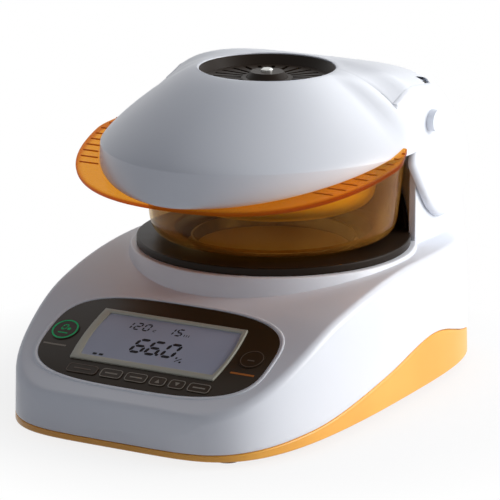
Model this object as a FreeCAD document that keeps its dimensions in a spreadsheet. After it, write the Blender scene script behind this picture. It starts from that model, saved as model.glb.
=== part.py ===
"""Bench-top moisture analyzer: a balance with a heated, hinged hood.

Millimetres, X to the right, Y to the back, Z up. The origin is on the table
under the middle of the footprint. Heights are above the table.
"""
import FreeCAD, Part
import math
import os
import re

import Sketcher
from FreeCAD import Placement, Rotation, Vector

SIZES = {
    # overall
    "foot_lift": 4.0,
    "chamber_back": 38.7,
    "front_reach": 205.0,
    "rear_reach": 127.5,
    "case_half_width": 110.0,
    "case_draft": 4.0,
    "case_squareness": 5.0,
    "front_taper": 0.12,
    "rear_taper": 0.04,
    "case_wall": 2.5,
    "seam_gap": 0.4,
    "running_gap": 0.3,
    # upper case side profile
    "deck_height": 89.5,
    "deck_middle_height": 84.0,
    "panel_top_height": 73.0,
    "panel_top_reach": 117.0,
    "chin_setback": 3.5,
    "rear_shoulder_height": 68.0,
    "rear_shoulder_reach": 106.0,
    # split line between the two cases
    "split_front": 8.0,
    "split_quarter": 15.0,
    "split_crest": 36.5,
    "split_rear": 12.0,
    # display panel
    "panel_slope": 25.5,
    "panel_forward": 153.5,
    "panel_height": 55.4,
    "panel_half_width": 83.0,
    "panel_half_depth": 41.0,
    "panel_plate_thickness": 1.2,
    "panel_recess": 1.0,
    "display_half_width": 52.5,
    "display_half_depth": 24.5,
    "display_offset": 4.9,
    "frame_width": 5.0,
    "frame_height": 1.6,
    "window_thickness": 1.0,
    "module_thickness": 6.0,
    "display_bow": 2.0,
    # keys
    "key_row_offset": 28.0,
    "key_depth": 8.4,
    "key_wide": 22.5,
    "key_middle": 16.0,
    "key_narrow": 11.6,
    "key_corner": 2.6,
    "key_gap": 0.35,
    "key_height": 3.2,
    "key_proud": 0.5,
    "tare_key_radius": 9.6,
    "tare_key_out": 70.0,
    "start_key_radius": 8.4,
    "start_key_out": 68.0,
    "switch_side": 6.0,
    "switch_height": 3.4,
    "key_board_thickness": 1.6,
    # weighing chamber
    "tray_radius": 91.4,
    "tray_top": 97.1,
    "tray_thickness": 5.3,
    "tray_well_radius": 60.0,
    "tray_well_depth": 13.5,
    "tray_wall": 2.2,
    "platform_radius": 95.0,
    "platform_flare": 3.5,
    "shield_height": 40.0,
    "shield_thickness": 2.6,
    "shield_half_width": 73.0,
    "dish_radius": 55.0,
    "dish_depth": 9.5,
    "dish_wall": 0.6,
    "pan_radius": 44.0,
    "pan_thickness": 1.6,
    "stem_radius": 4.0,
    "well_hole_radius": 7.0,
    # hinge
    "pivot_back": 57.0,
    "pivot_rise": 7.7,
    "pin_radius": 3.0,
    "pin_clearance": 0.05,
    "bush_wall": 1.5,
    "boss_radius": 11.5,
    "cap_radius": 7.4,
    "cap_length": 5.0,
    # rear column
    "column_half_width": 82.5,
    "cheek_thickness": 5.0,
    "socket_radius": 31.0,
    # hood
    "hood_wall": 3.0,
    "hood_half_width": 106.0,
    "hood_front_reach": 129.0,
    "hood_rear_reach": 96.0,
    "hood_centre_forward": 9.0,
    "crease_height": 165.3,
    "crease_tilt": 0.02,
    "vent_height": 212.0,
    "vent_radius": 45.0,
    "vent_rim": 2.0,
    "ear_thickness": 4.5,
    "ear_gap": 1.0,
    "barrel_radius": 29.0,
    "barrel_wall": 2.5,
    "skirt_tuck": 7.0,
    "visor_half_width": 114.0,
    "visor_front_reach": 127.0,
    "visor_squareness": 2.5,
    "visor_front_height": 141.6,
    "visor_slope": 0.2,
    "visor_thickness": 3.0,
    "visor_ribs": 9.0,
    "rib_pitch": 4.6,
    "rib_width": 1.6,
    "rib_depth": 0.8,
    "liner_thickness": 1.2,
    "glass_top_radius": 87.5,
    "glass_bottom_radius": 81.5,
    "glass_top": 155.0,
    "glass_bottom": 100.4,
    "glass_corner": 12.0,
    "glass_wall": 2.4,
    "glass_mouth_radius": 66.0,
    "reflector_radius": 68.0,
    "reflector_bottom": 120.0,
    "reflector_corner": 9.0,
    "reflector_wall": 1.0,
    "heater_radius": 5.0,
    "heater_half_length": 42.0,
    "heater_spacing": 26.0,
    "heater_height": 148.0,
    "grille_depth": 7.0,
    "grille_thickness": 2.4,
    "grille_slots": 24.0,
    "grille_slot_width": 2.6,
    "grille_hub_radius": 11.0,
    # fittings
    "screw_radius": 1.6,
    "screw_head_radius": 3.0,
    "screw_head_height": 2.0,
    "foot_pad_radius": 8.0,
    "foot_wheel_radius": 11.0,
    "foot_stem_radius": 4.0,
    "board_thickness": 1.6,
    "inlet_width": 27.0,
    "inlet_height": 20.0,
    "inlet_out": 26.0,
    "inlet_lift": 34.0,
    "inlet_depth": 22.0,
    "rocker_width": 13.0,
    "rocker_height": 19.0,
    "rocker_out": 52.0,
    "port_width": 30.8,
    "port_height": 12.5,
    "port_out": 34.0,
    "screw_in": 20.0,
    # made up from the above
    "pivot_height": "=crease_height + pivot_rise",
    "screw_out": "=case_half_width - screw_in",
}

doc = FreeCAD.newDocument("moisture_analyzer")
sheet = doc.addObject("Spreadsheet::Sheet", "Sizes")
for row, (alias, value) in enumerate(SIZES.items(), start=1):
    sheet.set(f"A{row}", alias.replace("_", " "))
    sheet.set(f"B{row}", str(value))
    sheet.setAlias(f"B{row}", alias)
doc.recompute()

nodes = []


def size(alias):
    """A driving dimension, read from the sheet."""
    return float(sheet.get(alias))


def bind(thing, prop, text):
    """Binds a property to an expression written in the sheet's own words."""
    thing.setExpression(prop, in_sheet_words(text))


def place(thing, x="0", y="0", z="0"):
    """Binds the position of an object."""
    bind(thing, "Placement.Base.x", x)
    bind(thing, "Placement.Base.y", y)
    bind(thing, "Placement.Base.z", z)


def node(thing, label):
    """Marks an object as a sub-part that is written to a file of its own."""
    thing.Label = label
    nodes.append(thing)
    return thing


# primitives and booleans

def box(name, length, width, height, x, y, z):
    """A block, centred in X and Y on x, y and standing on z."""
    block = doc.addObject("Part::Box", name)
    bind(block, "Length", length)
    bind(block, "Width", width)
    bind(block, "Height", height)
    place(block, f"{x} - ({length}) / 2", f"{y} - ({width}) / 2", z)
    return block


def rod(name, radius, length, x="0", y="0", z="0", along="z"):
    """A cylinder that starts at x, y, z and runs along an axis."""
    bar = doc.addObject("Part::Cylinder", name)
    bind(bar, "Radius", radius)
    bind(bar, "Height", length)
    turns = {"x": Rotation(Vector(0, 1, 0), 90), "y": Rotation(Vector(1, 0, 0), -90), "z": Rotation()}
    bar.Placement = Placement(Vector(), turns[along])
    place(bar, x, y, z)
    return bar


def group(name, things):
    """Several solids in one object."""
    whole = doc.addObject("Part::Compound", name)
    whole.Links = things
    return whole


def fuse(name, things):
    whole = doc.addObject("Part::MultiFuse", name)
    whole.Shapes = things
    return whole


def cut(name, base, tools):
    result = doc.addObject("Part::Cut", name)
    result.Base = base
    result.Tool = tools[0] if len(tools) == 1 else group(name + "_tools", tools)
    return result


# sketched bodies

def plane_of(body, role):
    return next(item for item in body.Origin.OriginFeatures if item.Role == role)


def sketch_polygon(body, role, points, name):
    """A closed outline whose corners are bound to the sheet."""
    sketch = body.newObject("Sketcher::SketchObject", name)
    sketch.AttachmentSupport = [(plane_of(body, role), "")]
    sketch.MapMode = "FlatFace"
    count = len(points)
    rough = []
    for horizontal, vertical in points:
        rough.append(Vector(number(horizontal), number(vertical), 0))
    for index in range(count):
        sketch.addGeometry(Part.LineSegment(rough[index], rough[(index + 1) % count]), False)
    for index in range(count):
        sketch.addConstraint(Sketcher.Constraint("Coincident", index, 2, (index + 1) % count, 1))
    for index, (horizontal, vertical) in enumerate(points):
        for kind, text, value in (("DistanceX", horizontal, rough[index].x), ("DistanceY", vertical, rough[index].y)):
            place_in = sketch.addConstraint(Sketcher.Constraint(kind, -1, 1, index, 1, value))
            bind(sketch, f"Constraints[{place_in}]", text)
    return sketch


def in_sheet_words(text):
    """The expression with each size named as the sheet's cell."""
    return re.sub(r"[a-z][a-z_]*", lambda m: "Sizes." + m.group() if m.group() in SIZES else m.group(), text)


def number(text):
    """The value of an expression in the sheet's words."""
    return float(sheet.evalExpression(in_sheet_words(text)))


def turned(label, profile, x="0", y="0", z="0"):
    """A body of revolution about a vertical axis: the profile is (radius, height)."""
    body = doc.addObject("PartDesign::Body", label + "_body")
    sketch = sketch_polygon(body, "XZ_Plane", profile, label + "_profile")
    turn = body.newObject("PartDesign::Revolution", label + "_turn")
    turn.Profile = sketch
    turn.ReferenceAxis = (sketch, ["V_Axis"])
    turn.Angle = 360.0
    body.Tip = turn
    place(body, x, y, z)
    return body


def feature(label, shape):
    """A free form made from surfaces, whose sizes the code reads from the sheet."""
    thing = doc.addObject("Part::Feature", label)
    thing.Shape = shape
    return node(thing, label)


# smooth closed outlines and solids between them

AROUND = 32


def superellipse(half_width, front, rear, power, middle, height):
    """A closed smooth outline; height gives z at a distance behind the chamber's axis."""
    points = []
    for step in range(AROUND):
        angle = 2 * math.pi * (step + 0.5) / AROUND
        across = math.copysign(abs(math.cos(angle)) ** (2 / power), math.cos(angle))
        along = math.copysign(abs(math.sin(angle)) ** (2 / power), math.sin(angle))
        back = middle + (rear if along > 0 else front) * along
        points.append(Vector(half_width(back) * across, back + chamber, height(back)))
    curve = Part.BSplineCurve()
    curve.interpolate(points, PeriodicFlag=True)
    return Part.Wire([curve.toShape()])


def loft(wires, ruled=False):
    return Part.makeLoft(wires, True, ruled)


def slab(profile, half_width, from_side=0.0):
    """A side profile of (back, height) edges carried across, from one half width or between two."""
    face = Part.Face(Part.Wire(profile))
    if from_side:
        pieces = []
        for start in (from_side, -half_width):
            side = face.copy()
            side.translate(Vector(start, 0, 0))
            pieces.append(side.extrude(Vector(half_width - from_side, 0, 0)))
        return pieces[0].fuse(pieces[1])
    face.translate(Vector(-half_width, 0, 0))
    return face.extrude(Vector(2 * half_width, 0, 0))


def side_point(back, height):
    return Vector(0, back + chamber, height)


def straight(*points):
    return [Part.makeLine(first, second) for first, second in zip(points, points[1:])]


def curved(*points):
    curve = Part.BSplineCurve()
    curve.interpolate(list(points))
    return curve.toShape()


def bent(start, middle, end):
    return Part.Arc(start, middle, end).toShape()


def upright(radius, low, high, back=0.0, out=0.0):
    """A vertical cylinder about the chamber's axis or beside it."""
    return Part.makeCylinder(radius, high - low, Vector(out, back + chamber, low))


def across(radius, start, end, back, height):
    """A cylinder that lies along X."""
    return Part.makeCylinder(radius, end - start, Vector(start, back + chamber, height), Vector(1, 0, 0))


def spun(profile, back=0.0):
    """A solid of revolution about the chamber's axis from (radius, height) corners."""
    corners = [Vector(radius, 0, height) for radius, height in profile]
    face = Part.Face(Part.makePolygon(corners + corners[:1]))
    solid = face.revolve(Vector(), Vector(0, 0, 1), 360)
    solid.translate(Vector(0, chamber + back, 0))
    return solid


chamber = size("chamber_back")
lift = size("foot_lift")
wall = size("case_wall")
gap = size("running_gap")
front = size("front_reach")
rear = size("rear_reach")
pivot_back = size("pivot_back")
pivot_height = size("pivot_height")
TALL = 400.0


# the two cases

BOSS_RADIUS = 5.0
BOSS_MEET = size("split_front") + 14
CASE_SCREWS = [(sx * size("screw_out"), chamber + back) for sx in (-1, 1) for back in (-138.0, -28.0, 78.0)]
REAR_FEET = [(sx * 76.0, chamber + rear - 28) for sx in (-1, 1)]
FRONT_FEET = [(sx * 66.0, chamber - front + 28) for sx in (-1, 1)]


def case_outline(height, inset, draft):
    middle = (rear - front) / 2
    reach = (rear + front) / 2 - inset

    def half_width(back):
        share = (back - middle) / reach
        taper = size("rear_taper") if share > 0 else size("front_taper")
        return (size("case_half_width") - draft) * (1 - taper * share * share) - inset

    return superellipse(half_width, reach, reach, size("case_squareness"), middle, lambda back: height)


def case_block(inset):
    """The cases' side walls, drawn in slightly towards the top."""
    low = case_outline(0.0, inset, 0.0)
    high = case_outline(size("deck_height") + 20, inset, size("case_draft"))
    return loft([low, high], True)


def panel_surface(back):
    """Height of the sloping display panel at a distance behind the chamber's axis."""
    return size("panel_height") + (back + size("panel_forward")) * math.tan(math.radians(size("panel_slope")))


def under_top(inset):
    """What lies under the deck, the display panel and the chin, seen from the side."""
    chin = -front + size("chin_setback") + inset
    panel_top = -size("panel_top_reach")
    drop = -inset
    deck = size("deck_height") + drop
    shoulder = size("rear_shoulder_reach") - inset
    crease = side_point(chin, panel_surface(chin) + drop)
    top = side_point(panel_top, panel_surface(panel_top) + drop)
    deck_front = side_point(0, deck)
    middle = side_point(panel_top * 0.57, size("deck_middle_height") + drop)
    deck_rear = side_point(shoulder, deck - 1.5)
    rear_side = side_point(rear - inset, size("rear_shoulder_height"))
    swell = side_point((shoulder + rear - inset) / 2 + 5.5, deck - 7)
    front_low = side_point(-front - 5 + inset, -5)
    front_foot = side_point(-front - 5 + inset, size("split_front") / 2)
    rear_low = side_point(rear + 5 - inset, -5)
    edges = straight(front_low, front_foot, crease, top)
    edges += [bent(top, middle, deck_front)]
    edges += straight(deck_front, deck_rear)
    edges += [bent(deck_rear, swell, rear_side)]
    edges += straight(rear_side, rear_low, front_low)
    return slab(edges, 200.0)


def under_split(shift):
    """What lies under the wavy line where the cases part, lowered by shift."""
    quarter = size("split_quarter") - shift
    crest = size("split_crest") - shift
    low = size("split_front") - shift
    back_low = size("split_rear") - shift
    points = [
        side_point(-front - 10, low),
        side_point(-front * 0.75, (low + quarter) / 2),
        side_point(-front * 0.54, quarter),
        side_point(-front * 0.2, (quarter + crest) / 2),
        side_point(rear * 0.2, crest),
        side_point(rear * 0.63, (crest + back_low) / 2 + 1),
        side_point(rear + 10, back_low),
    ]
    foot = straight(points[-1], side_point(rear + 10, -10), side_point(-front - 10, -10), points[0])
    return slab([curved(*points)] + foot, 200.0)


def column_profile(inset):
    """The hump behind the chamber that carries the hinge, seen from the side."""
    deck = size("deck_height") - 8
    boss = size("boss_radius")
    points = [
        side_point(pivot_back - boss + inset, deck),
        side_point(pivot_back - boss + inset, pivot_height),
        side_point(pivot_back, pivot_height + boss - inset),
        side_point(pivot_back + 27 - inset, pivot_height + 3 - inset),
        side_point(pivot_back + 47 - inset, pivot_height - 14 - inset),
        side_point(pivot_back + 58 - inset, pivot_height - 35),
        side_point(pivot_back + 57 - inset, pivot_height - 57),
        side_point(pivot_back + 60 - inset, pivot_height - 72),
        side_point(pivot_back + 64 - inset, deck),
    ]
    edges = straight(*points[:5]) + [curved(*points[4:])] + straight(points[-1], points[0])
    return edges


def column(inset):
    half = size("column_half_width") - inset
    hump = slab(column_profile(inset), half)
    if not inset:
        hump = hump.fuse(across(size("boss_radius"), -half, half, pivot_back, pivot_height))
    reach = [case_outline(height, inset + 1.0, size("case_draft")) for height in (0.0, TALL)]
    return hump.common(loft(reach, True))


def chamber_space(grow):
    """Room for the glass and the hood's barrel between the column's cheeks."""
    bowl = upright(size("tray_radius") + gap * 3 + grow, size("tray_top") - size("tray_thickness"), TALL)
    half = size("column_half_width") - size("cheek_thickness")
    barrel = across(size("socket_radius") + grow, -half - grow, half + grow, pivot_back, pivot_height)
    front_space = Part.makeBox(2 * (half + grow), pivot_back, TALL,
                               Vector(-half - grow, chamber, size("tray_top")))
    return bowl.fuse([barrel, front_space])


def panel_frame():
    """Position of the panel's middle, square to its slope."""
    return Placement(side_point(-size("panel_forward"), size("panel_height")),
                     Rotation(Vector(1, 0, 0), size("panel_slope")))


def on_panel(shape):
    shape.Placement = panel_frame().multiply(shape.Placement)
    return shape


def oval(half_width, half_depth, power, low, high):
    """An upright block with a superelliptic outline, in the panel's own frame."""
    wires = []
    for level in (low, high):
        points = []
        for step in range(AROUND):
            angle = 2 * math.pi * (step + 0.5) / AROUND
            horizontal = math.copysign(abs(math.cos(angle)) ** (2 / power), math.cos(angle))
            vertical = math.copysign(abs(math.sin(angle)) ** (2 / power), math.sin(angle))
            points.append(Vector(half_width * horizontal, half_depth * vertical, level))
        curve = Part.BSplineCurve()
        curve.interpolate(points, PeriodicFlag=True)
        wires.append(Part.Wire([curve.toShape()]))
    return loft(wires, True)


def bowed_block(half_width, half_depth, bow, low, high):
    """A rectangle with sides that swell a little, in the panel's own frame."""
    corners = [Vector(sx * half_width, sy * half_depth, low) for sx, sy in ((-1, -1), (1, -1), (1, 1), (-1, 1))]
    swells = [Vector(0, -half_depth, low), Vector(half_width + bow, 0, low),
              Vector(0, half_depth, low), Vector(-half_width - bow, 0, low)]
    edges = []
    for index in range(4):
        start, end = corners[index], corners[(index + 1) % 4]
        if index % 2:
            edges.append(bent(start, swells[index], end))
        else:
            edges.append(Part.makeLine(start, end))
    return Part.Face(Part.Wire(edges)).extrude(Vector(0, 0, high - low))


def rounded_block(width, depth, corner, x, y, low, high):
    """A rounded rectangle in the panel's own frame."""
    block = Part.makeBox(width, depth, high - low, Vector(x - width / 2, y - depth / 2, low))
    upright_edges = [edge for edge in block.Edges if abs(edge.tangentAt(edge.FirstParameter).z) > 0.9]
    return block.makeFillet(corner, upright_edges)


# the keys: label, kind, distance out, distance up the panel, width or radius

row_up = -size("key_row_offset")
KEYS = [
    ("key_tare", "round", -size("tare_key_out"), size("display_offset"), size("tare_key_radius")),
    ("key_start", "round", size("start_key_out"), size("display_offset"), size("start_key_radius")),
]
ROW = [("key_mode", "key_wide"), ("key_menu", "key_middle"), ("key_select", "key_middle"),
       ("key_up", "key_narrow"), ("key_down", "key_narrow"), ("key_enter", "key_middle")]
ROW_GAP = 2.2
row_width = sum(size(width) for _, width in ROW) + ROW_GAP * (len(ROW) - 1)
reach_across = -row_width / 2 + 2.5
for label, width in ROW:
    KEYS.append((label, "long", reach_across + size(width) / 2, row_up, size(width)))
    reach_across += size(width) + ROW_GAP


def key_shape(kind, x, y, width, grow, low, high):
    """A key, or the hole that it moves in when grown by its clearance."""
    if kind == "round":
        return Part.makeCylinder(width + grow, high - low, Vector(x, y, low))
    return rounded_block(width + 2 * grow, size("key_depth") + 2 * grow, size("key_corner") + grow, x, y, low, high)


recess = size("panel_recess")
plate = size("panel_plate_thickness")
plate_top = plate - recess
key_gap = size("key_gap")
window_half_width = size("display_half_width") - size("frame_width")
window_half_depth = size("display_half_depth") - size("frame_width")
display_up = size("display_offset")


def display_opening(low, high, grow=0.0):
    opening = bowed_block(window_half_width + grow, window_half_depth + grow, size("display_bow"), low, high)
    opening.translate(Vector(0, display_up, 0))
    return opening


def rear_cut(width, height, out, lift_at):
    """A rectangular opening through the rear wall."""
    return Part.makeBox(width, 30, height, Vector(out - width / 2, chamber + rear - 18, lift_at - height / 2))


def upper_case():
    outer = case_block(0.0).common(under_top(0.0))
    inner = case_block(wall).common(under_top(wall))
    platform = spun([
        (size("well_hole_radius"), size("panel_top_height")),
        (size("platform_radius") + size("platform_flare"), size("panel_top_height") + 4),
        (size("platform_radius") + size("platform_flare") * 0.4, size("deck_height") - 3),
        (size("platform_radius"), size("tray_top") - size("tray_thickness")),
        (size("well_hole_radius"), size("tray_top") - size("tray_thickness")),
    ])
    hump = column(0.0).cut(chamber_space(0.0))
    hollow = column(wall).cut(chamber_space(wall))
    outer = outer.fuse([platform, hump])
    well = upright(size("tray_well_radius") + size("tray_wall") + gap, 0, TALL)
    under_ring = upright(size("platform_radius") - wall, 0, size("tray_top") - size("tray_thickness") - wall)
    shell = outer.cut(inner.fuse([hollow, under_ring]).cut(case_block(0).cut(case_block(wall))))
    shell = shell.cut(well).cut(under_split(0.0))
    opening = on_panel(oval(size("panel_half_width") + gap, size("panel_half_depth") + gap, 3.2, -recess, 12))
    shell = shell.cut(opening).cut(on_panel(display_opening(-20, 20, 1.0)))
    for _, kind, x, y, width in KEYS:
        shell = shell.cut(on_panel(key_shape(kind, x, y, width, key_gap, -20, 20)))
    inlet = rear_cut(size("inlet_width") + gap, size("inlet_height") + gap, size("inlet_out"), size("inlet_lift"))
    rocker = rear_cut(size("rocker_width") + gap, size("rocker_height") + gap, size("rocker_out"), size("inlet_lift"))
    port = rear_cut(size("port_width") + gap, size("port_height") + gap, -size("port_out"), size("inlet_lift"))
    shell = shell.cut(inlet).cut(rocker).cut(port)
    bosses = []
    for x, y in CASE_SCREWS:
        boss = Part.makeCylinder(BOSS_RADIUS, TALL, Vector(x, y, BOSS_MEET + gap))
        pilot = Part.makeCylinder(size("screw_radius") + 0.05, 12, Vector(x, y, BOSS_MEET))
        bosses.append(boss.common(under_top(wall / 2)).cut(pilot))
    shell = shell.fuse(bosses)
    bush = size("pin_radius") + size("bush_wall")
    half = size("column_half_width")
    shell = shell.cut(across(bush, -half - 1, half + 1, pivot_back, pivot_height))
    return shell


def lower_case():
    """Floor and low wavy side wall, with bosses that carry the upper case."""
    seam = size("seam_gap")
    walls = case_block(0.0).cut(case_block(wall))
    floor = case_block(wall).common(Part.makeBox(400, 500, wall, Vector(-200, -250, lift)))
    below = Part.makeBox(400, 500, lift, Vector(-200, -250, 0))
    shell = walls.common(under_top(0.0)).common(under_split(seam)).cut(below).fuse(floor)
    posts = [Part.makeCylinder(BOSS_RADIUS, BOSS_MEET - lift, Vector(x, y, lift)) for x, y in CASE_SCREWS]
    shell = shell.fuse(posts)
    for x, y in CASE_SCREWS:
        shell = shell.cut(Part.makeCylinder(size("screw_radius") + gap, 60, Vector(x, y, 0)))
        shell = shell.cut(Part.makeCylinder(size("screw_head_radius") + gap, size("screw_head_height") + wall + 1,
                                            Vector(x, y, lift)))
    for x, y in REAR_FEET:
        shell = shell.cut(Part.makeCylinder(size("foot_stem_radius") + 0.05, 30, Vector(x, y, 0)))
    return shell


feature("upper_case", upper_case())
feature("lower_case", lower_case())


def case_screws():
    """Pan-head screws, in from below."""
    head = size("screw_head_height")
    solids = []
    for x, y in CASE_SCREWS:
        low = lift + wall + 1
        screw = Part.makeCylinder(size("screw_head_radius"), head, Vector(x, y, low))
        solids.append(screw.fuse(Part.makeCylinder(size("screw_radius"), 14, Vector(x, y, low + head))))
    return Part.makeCompound(solids)


feature("case_screws", case_screws())

# feet
front_pads = [rod(f"front_pad_{index}", "foot_pad_radius", "foot_lift", str(x), str(y))
              for index, (x, y) in enumerate(FRONT_FEET)]
node(group("front_feet_pads", front_pads), "front_feet")
for side, (x, y) in zip(("left", "right"), REAR_FEET):
    node(turned(f"levelling_foot_{side}", [
        ("0", "0"), ("foot_wheel_radius - 1", "0"), ("foot_wheel_radius", "1"),
        ("foot_wheel_radius", "foot_lift - 0.3"), ("foot_stem_radius", "foot_lift - 0.3"),
        ("foot_stem_radius", "foot_lift + 14"), ("0", "foot_lift + 14"),
    ], str(x), str(y)), f"levelling_foot_{side}")


# display panel and keys

def panel_plate():
    """The dark oval overlay, with openings for the display and the keys."""
    sheet_metal = oval(size("panel_half_width"), size("panel_half_depth"), 3.2, -recess, plate_top)
    sheet_metal = sheet_metal.cut(display_opening(-20, 20))
    for _, kind, x, y, width in KEYS:
        sheet_metal = sheet_metal.cut(key_shape(kind, x, y, width, key_gap, -20, 20))
    return on_panel(sheet_metal)


def display_frame():
    """Grey surround that stands on the overlay round the display."""
    half_width = size("display_half_width")
    half_depth = size("display_half_depth")
    frame = bowed_block(half_width, half_depth, size("display_bow"), plate_top, plate_top + size("frame_height"))
    frame.translate(Vector(0, display_up, 0))
    return on_panel(frame.cut(display_opening(-20, 20)))


def display_window():
    """Clear window, level with the overlay."""
    return on_panel(display_opening(plate_top - size("window_thickness"), plate_top, -0.15))


def display_module():
    """Liquid-crystal cell in its metal can, under the window."""
    high = plate_top - size("window_thickness")
    return on_panel(display_opening(high - size("module_thickness"), high, -0.3))


feature("panel_plate", panel_plate())
feature("display_frame", display_frame())
feature("display_window", display_window())
feature("display_module", display_module())

key_top = plate_top + size("key_proud")
key_foot = key_top - size("key_height")
board_top = key_foot - size("switch_height") - 0.6
for label, kind, x, y, width in KEYS:
    feature(label, on_panel(key_shape(kind, x, y, width, 0.0, key_foot, key_top)))


def keypad_board():
    """Circuit board under the keys, cut away round the display module."""
    low = board_top - size("key_board_thickness")
    board = rounded_block(2 * size("panel_half_width") - 8, size("panel_half_depth") * 2 - 14, 6, 0, 0, low, board_top)
    return on_panel(board.cut(display_opening(-40, 20, 2.0)))


def key_switches():
    """A push switch under each key."""
    side = size("switch_side")
    solids = []
    for _, _, x, y, _ in KEYS:
        solids.append(Part.makeBox(side, side, size("switch_height"), Vector(x - side / 2, y - side / 2, board_top)))
    return on_panel(Part.makeCompound(solids))


feature("keypad_board", keypad_board())
feature("key_switches", key_switches())

# weighing chamber
tray_under = "tray_top - tray_thickness"
node(turned("chamber_tray", [
    ("well_hole_radius", "tray_top - tray_well_depth"),
    ("tray_well_radius", "tray_top - tray_well_depth"),
    ("tray_well_radius", "tray_top - 1.2"),
    ("tray_well_radius + 3", "tray_top"),
    ("tray_radius - 1.2", "tray_top"),
    ("tray_radius", "tray_top - 1.2"),
    ("tray_radius", tray_under + " + 1.2"),
    ("tray_radius - 1.2", tray_under),
    ("tray_well_radius + tray_wall", tray_under),
    ("tray_well_radius + tray_wall", "tray_top - tray_well_depth - tray_wall"),
    ("well_hole_radius", "tray_top - tray_well_depth - tray_wall"),
], "0", "chamber_back"), "chamber_tray")


def rear_shield():
    """Heat shield that rises behind the glass, lower towards its ends."""
    outer = size("tray_radius") - 0.2
    inner = outer - size("shield_thickness")
    low = size("tray_top")
    half = size("shield_half_width")
    ring = upright(outer, low, low + size("shield_height")).cut(upright(inner, low - 1, TALL))
    reach = size("tray_radius") + 5
    arch = [Vector(-half, 0, low), Vector(-half * 0.86, 0, low + size("shield_height") * 0.5),
            Vector(-half * 0.62, 0, low + size("shield_height") * 0.9), Vector(0, 0, low + size("shield_height"))]
    mirrored = [Vector(-point.x, 0, point.z) for point in reversed(arch[:-1])]
    face = Part.Face(Part.Wire([curved(*arch, *mirrored), Part.makeLine(mirrored[-1], arch[0])]))
    stencil = face.extrude(Vector(0, reach, 0))
    stencil.translate(Vector(0, chamber, 0))
    return ring.common(stencil)


feature("rear_shield", rear_shield())

node(turned("sample_dish", [
    ("0", "0"), ("dish_radius - 3", "0"), ("dish_radius - 1", "dish_depth - 0.8"),
    ("dish_radius", "dish_depth - 0.8"), ("dish_radius", "dish_depth"),
    ("dish_radius - 1 - dish_wall", "dish_depth"), ("dish_radius - 3 - dish_wall", "dish_wall"), ("0", "dish_wall"),
], "0", "chamber_back", "tray_top - tray_well_depth + pan_thickness + 2.2"), "sample_dish")


def pan_support():
    """Three arms that carry the dish, on a stem through the tray."""
    low = size("tray_top") - size("tray_well_depth") + 1.9
    thick = size("pan_thickness")
    hub = upright(12, low, low + thick)
    arms = []
    for index in range(3):
        arm = Part.makeBox(size("pan_radius"), 10, thick, Vector(0, -5, low))
        arm.rotate(Vector(), Vector(0, 0, 1), 90 + 120 * index)
        arm.translate(Vector(0, chamber, 0))
        arms.append(arm)
    stem = upright(size("stem_radius"), CELL_TOP, low)
    return hub.fuse(arms + [stem])


CELL_TOP = lift + wall + 52
feature("pan_support", pan_support())

# load cell on its cast block
cell_middle = "chamber_back - 36"
cell = box("cell_bar", "20", "100", "22", "0", cell_middle, f"{CELL_TOP - 22}")
cell_eye = [rod(f"cell_eye_{index}", "7", "30", "-15", f"{cell_middle} + {offset}", f"{CELL_TOP - 11}", "x")
            for index, offset in enumerate((-8, 8))]
node(cut("cell_cut", cell, cell_eye), "load_cell")
block = box("block_solid", "34", "24", f"{CELL_TOP - 22 - lift - wall}", "0", "chamber_back - 74", f"{lift + wall}")
plinth = box("plinth_solid", "70", "60", "5", "0", "chamber_back - 74", f"{lift + wall}")
node(fuse("cell_block", [block, plinth]), "load_cell_mount")

# electronics
main = box("main_board_solid", "60", "90", "board_thickness", "-53", "chamber_back + 10", f"{lift + wall + 8}")
node(main, "main_board")
pegs = [rod(f"peg_{index}", "3", "8", str(-53 + sx * 25), f"chamber_back + 10 + {sy * 40}", f"{lift + wall}")
        for index, (sx, sy) in enumerate((a, b) for a in (-1, 1) for b in (-1, 1))]
node(group("pegs", pegs), "board_standoffs")
supply_floor = f"{lift + wall}"
supply_board = box("supply_board", "50", "84", "3", "57", "chamber_back + 6", supply_floor)
transformer = box("transformer", "38", "34", "26", "57", "chamber_back - 12", f"{lift + wall + 3}")
capacitor = rod("capacitor", "9", "24", "49", "chamber_back + 32", f"{lift + wall + 3}")
node(fuse("supply", [supply_board, transformer, capacitor]), "power_supply")


def rear_wall_back(out):
    """How far behind the chamber's axis the rear wall stands, at a distance out."""
    power = size("case_squareness")
    share = out / (size("case_half_width") - size("case_draft"))
    return (rear - front) / 2 + (rear + front) / 2 * (1 - abs(share) ** power) ** (1 / power)


def rear_piece(width, height, out, depth):
    """A connector's block, seated in the rear wall, with where its face and middle lie."""
    at = size("inlet_lift")
    back = chamber + rear_wall_back(out) + 0.6
    body = Part.makeBox(width, depth, height, Vector(out - width / 2, back - depth, at - height / 2))
    return body, back, at


def power_inlet():
    """Three-pin inlet with its socket recess and blades."""
    body, back, at = rear_piece(size("inlet_width"), size("inlet_height"), size("inlet_out"), size("inlet_depth"))
    socket = Part.makeBox(size("inlet_width") - 5, 16, size("inlet_height") - 5,
                          Vector(size("inlet_out") - size("inlet_width") / 2 + 2.5, back - 16, at - size("inlet_height") / 2 + 2.5))
    body = body.cut(socket)
    blades = [Part.makeBox(2, 15, 4, Vector(size("inlet_out") + offset - 1, back - 17, at - 2 + rise))
              for offset, rise in ((-7, -2), (0, 2), (7, -2))]
    return body.fuse(blades)


def serial_port():
    """Nine-pin socket: a flanged shell with its insulator."""
    body, back, at = rear_piece(size("port_width"), size("port_height"), -size("port_out"), 10)
    recess_cut = Part.makeBox(17, 5, 8, Vector(-size("port_out") - 8.5, back - 5, at - 4))
    insert = Part.makeBox(14.5, 4, 5.5, Vector(-size("port_out") - 7.25, back - 5.2, at - 2.75))
    return body.cut(recess_cut).fuse(insert)


feature("power_inlet", power_inlet())
feature("serial_port", serial_port())


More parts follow.
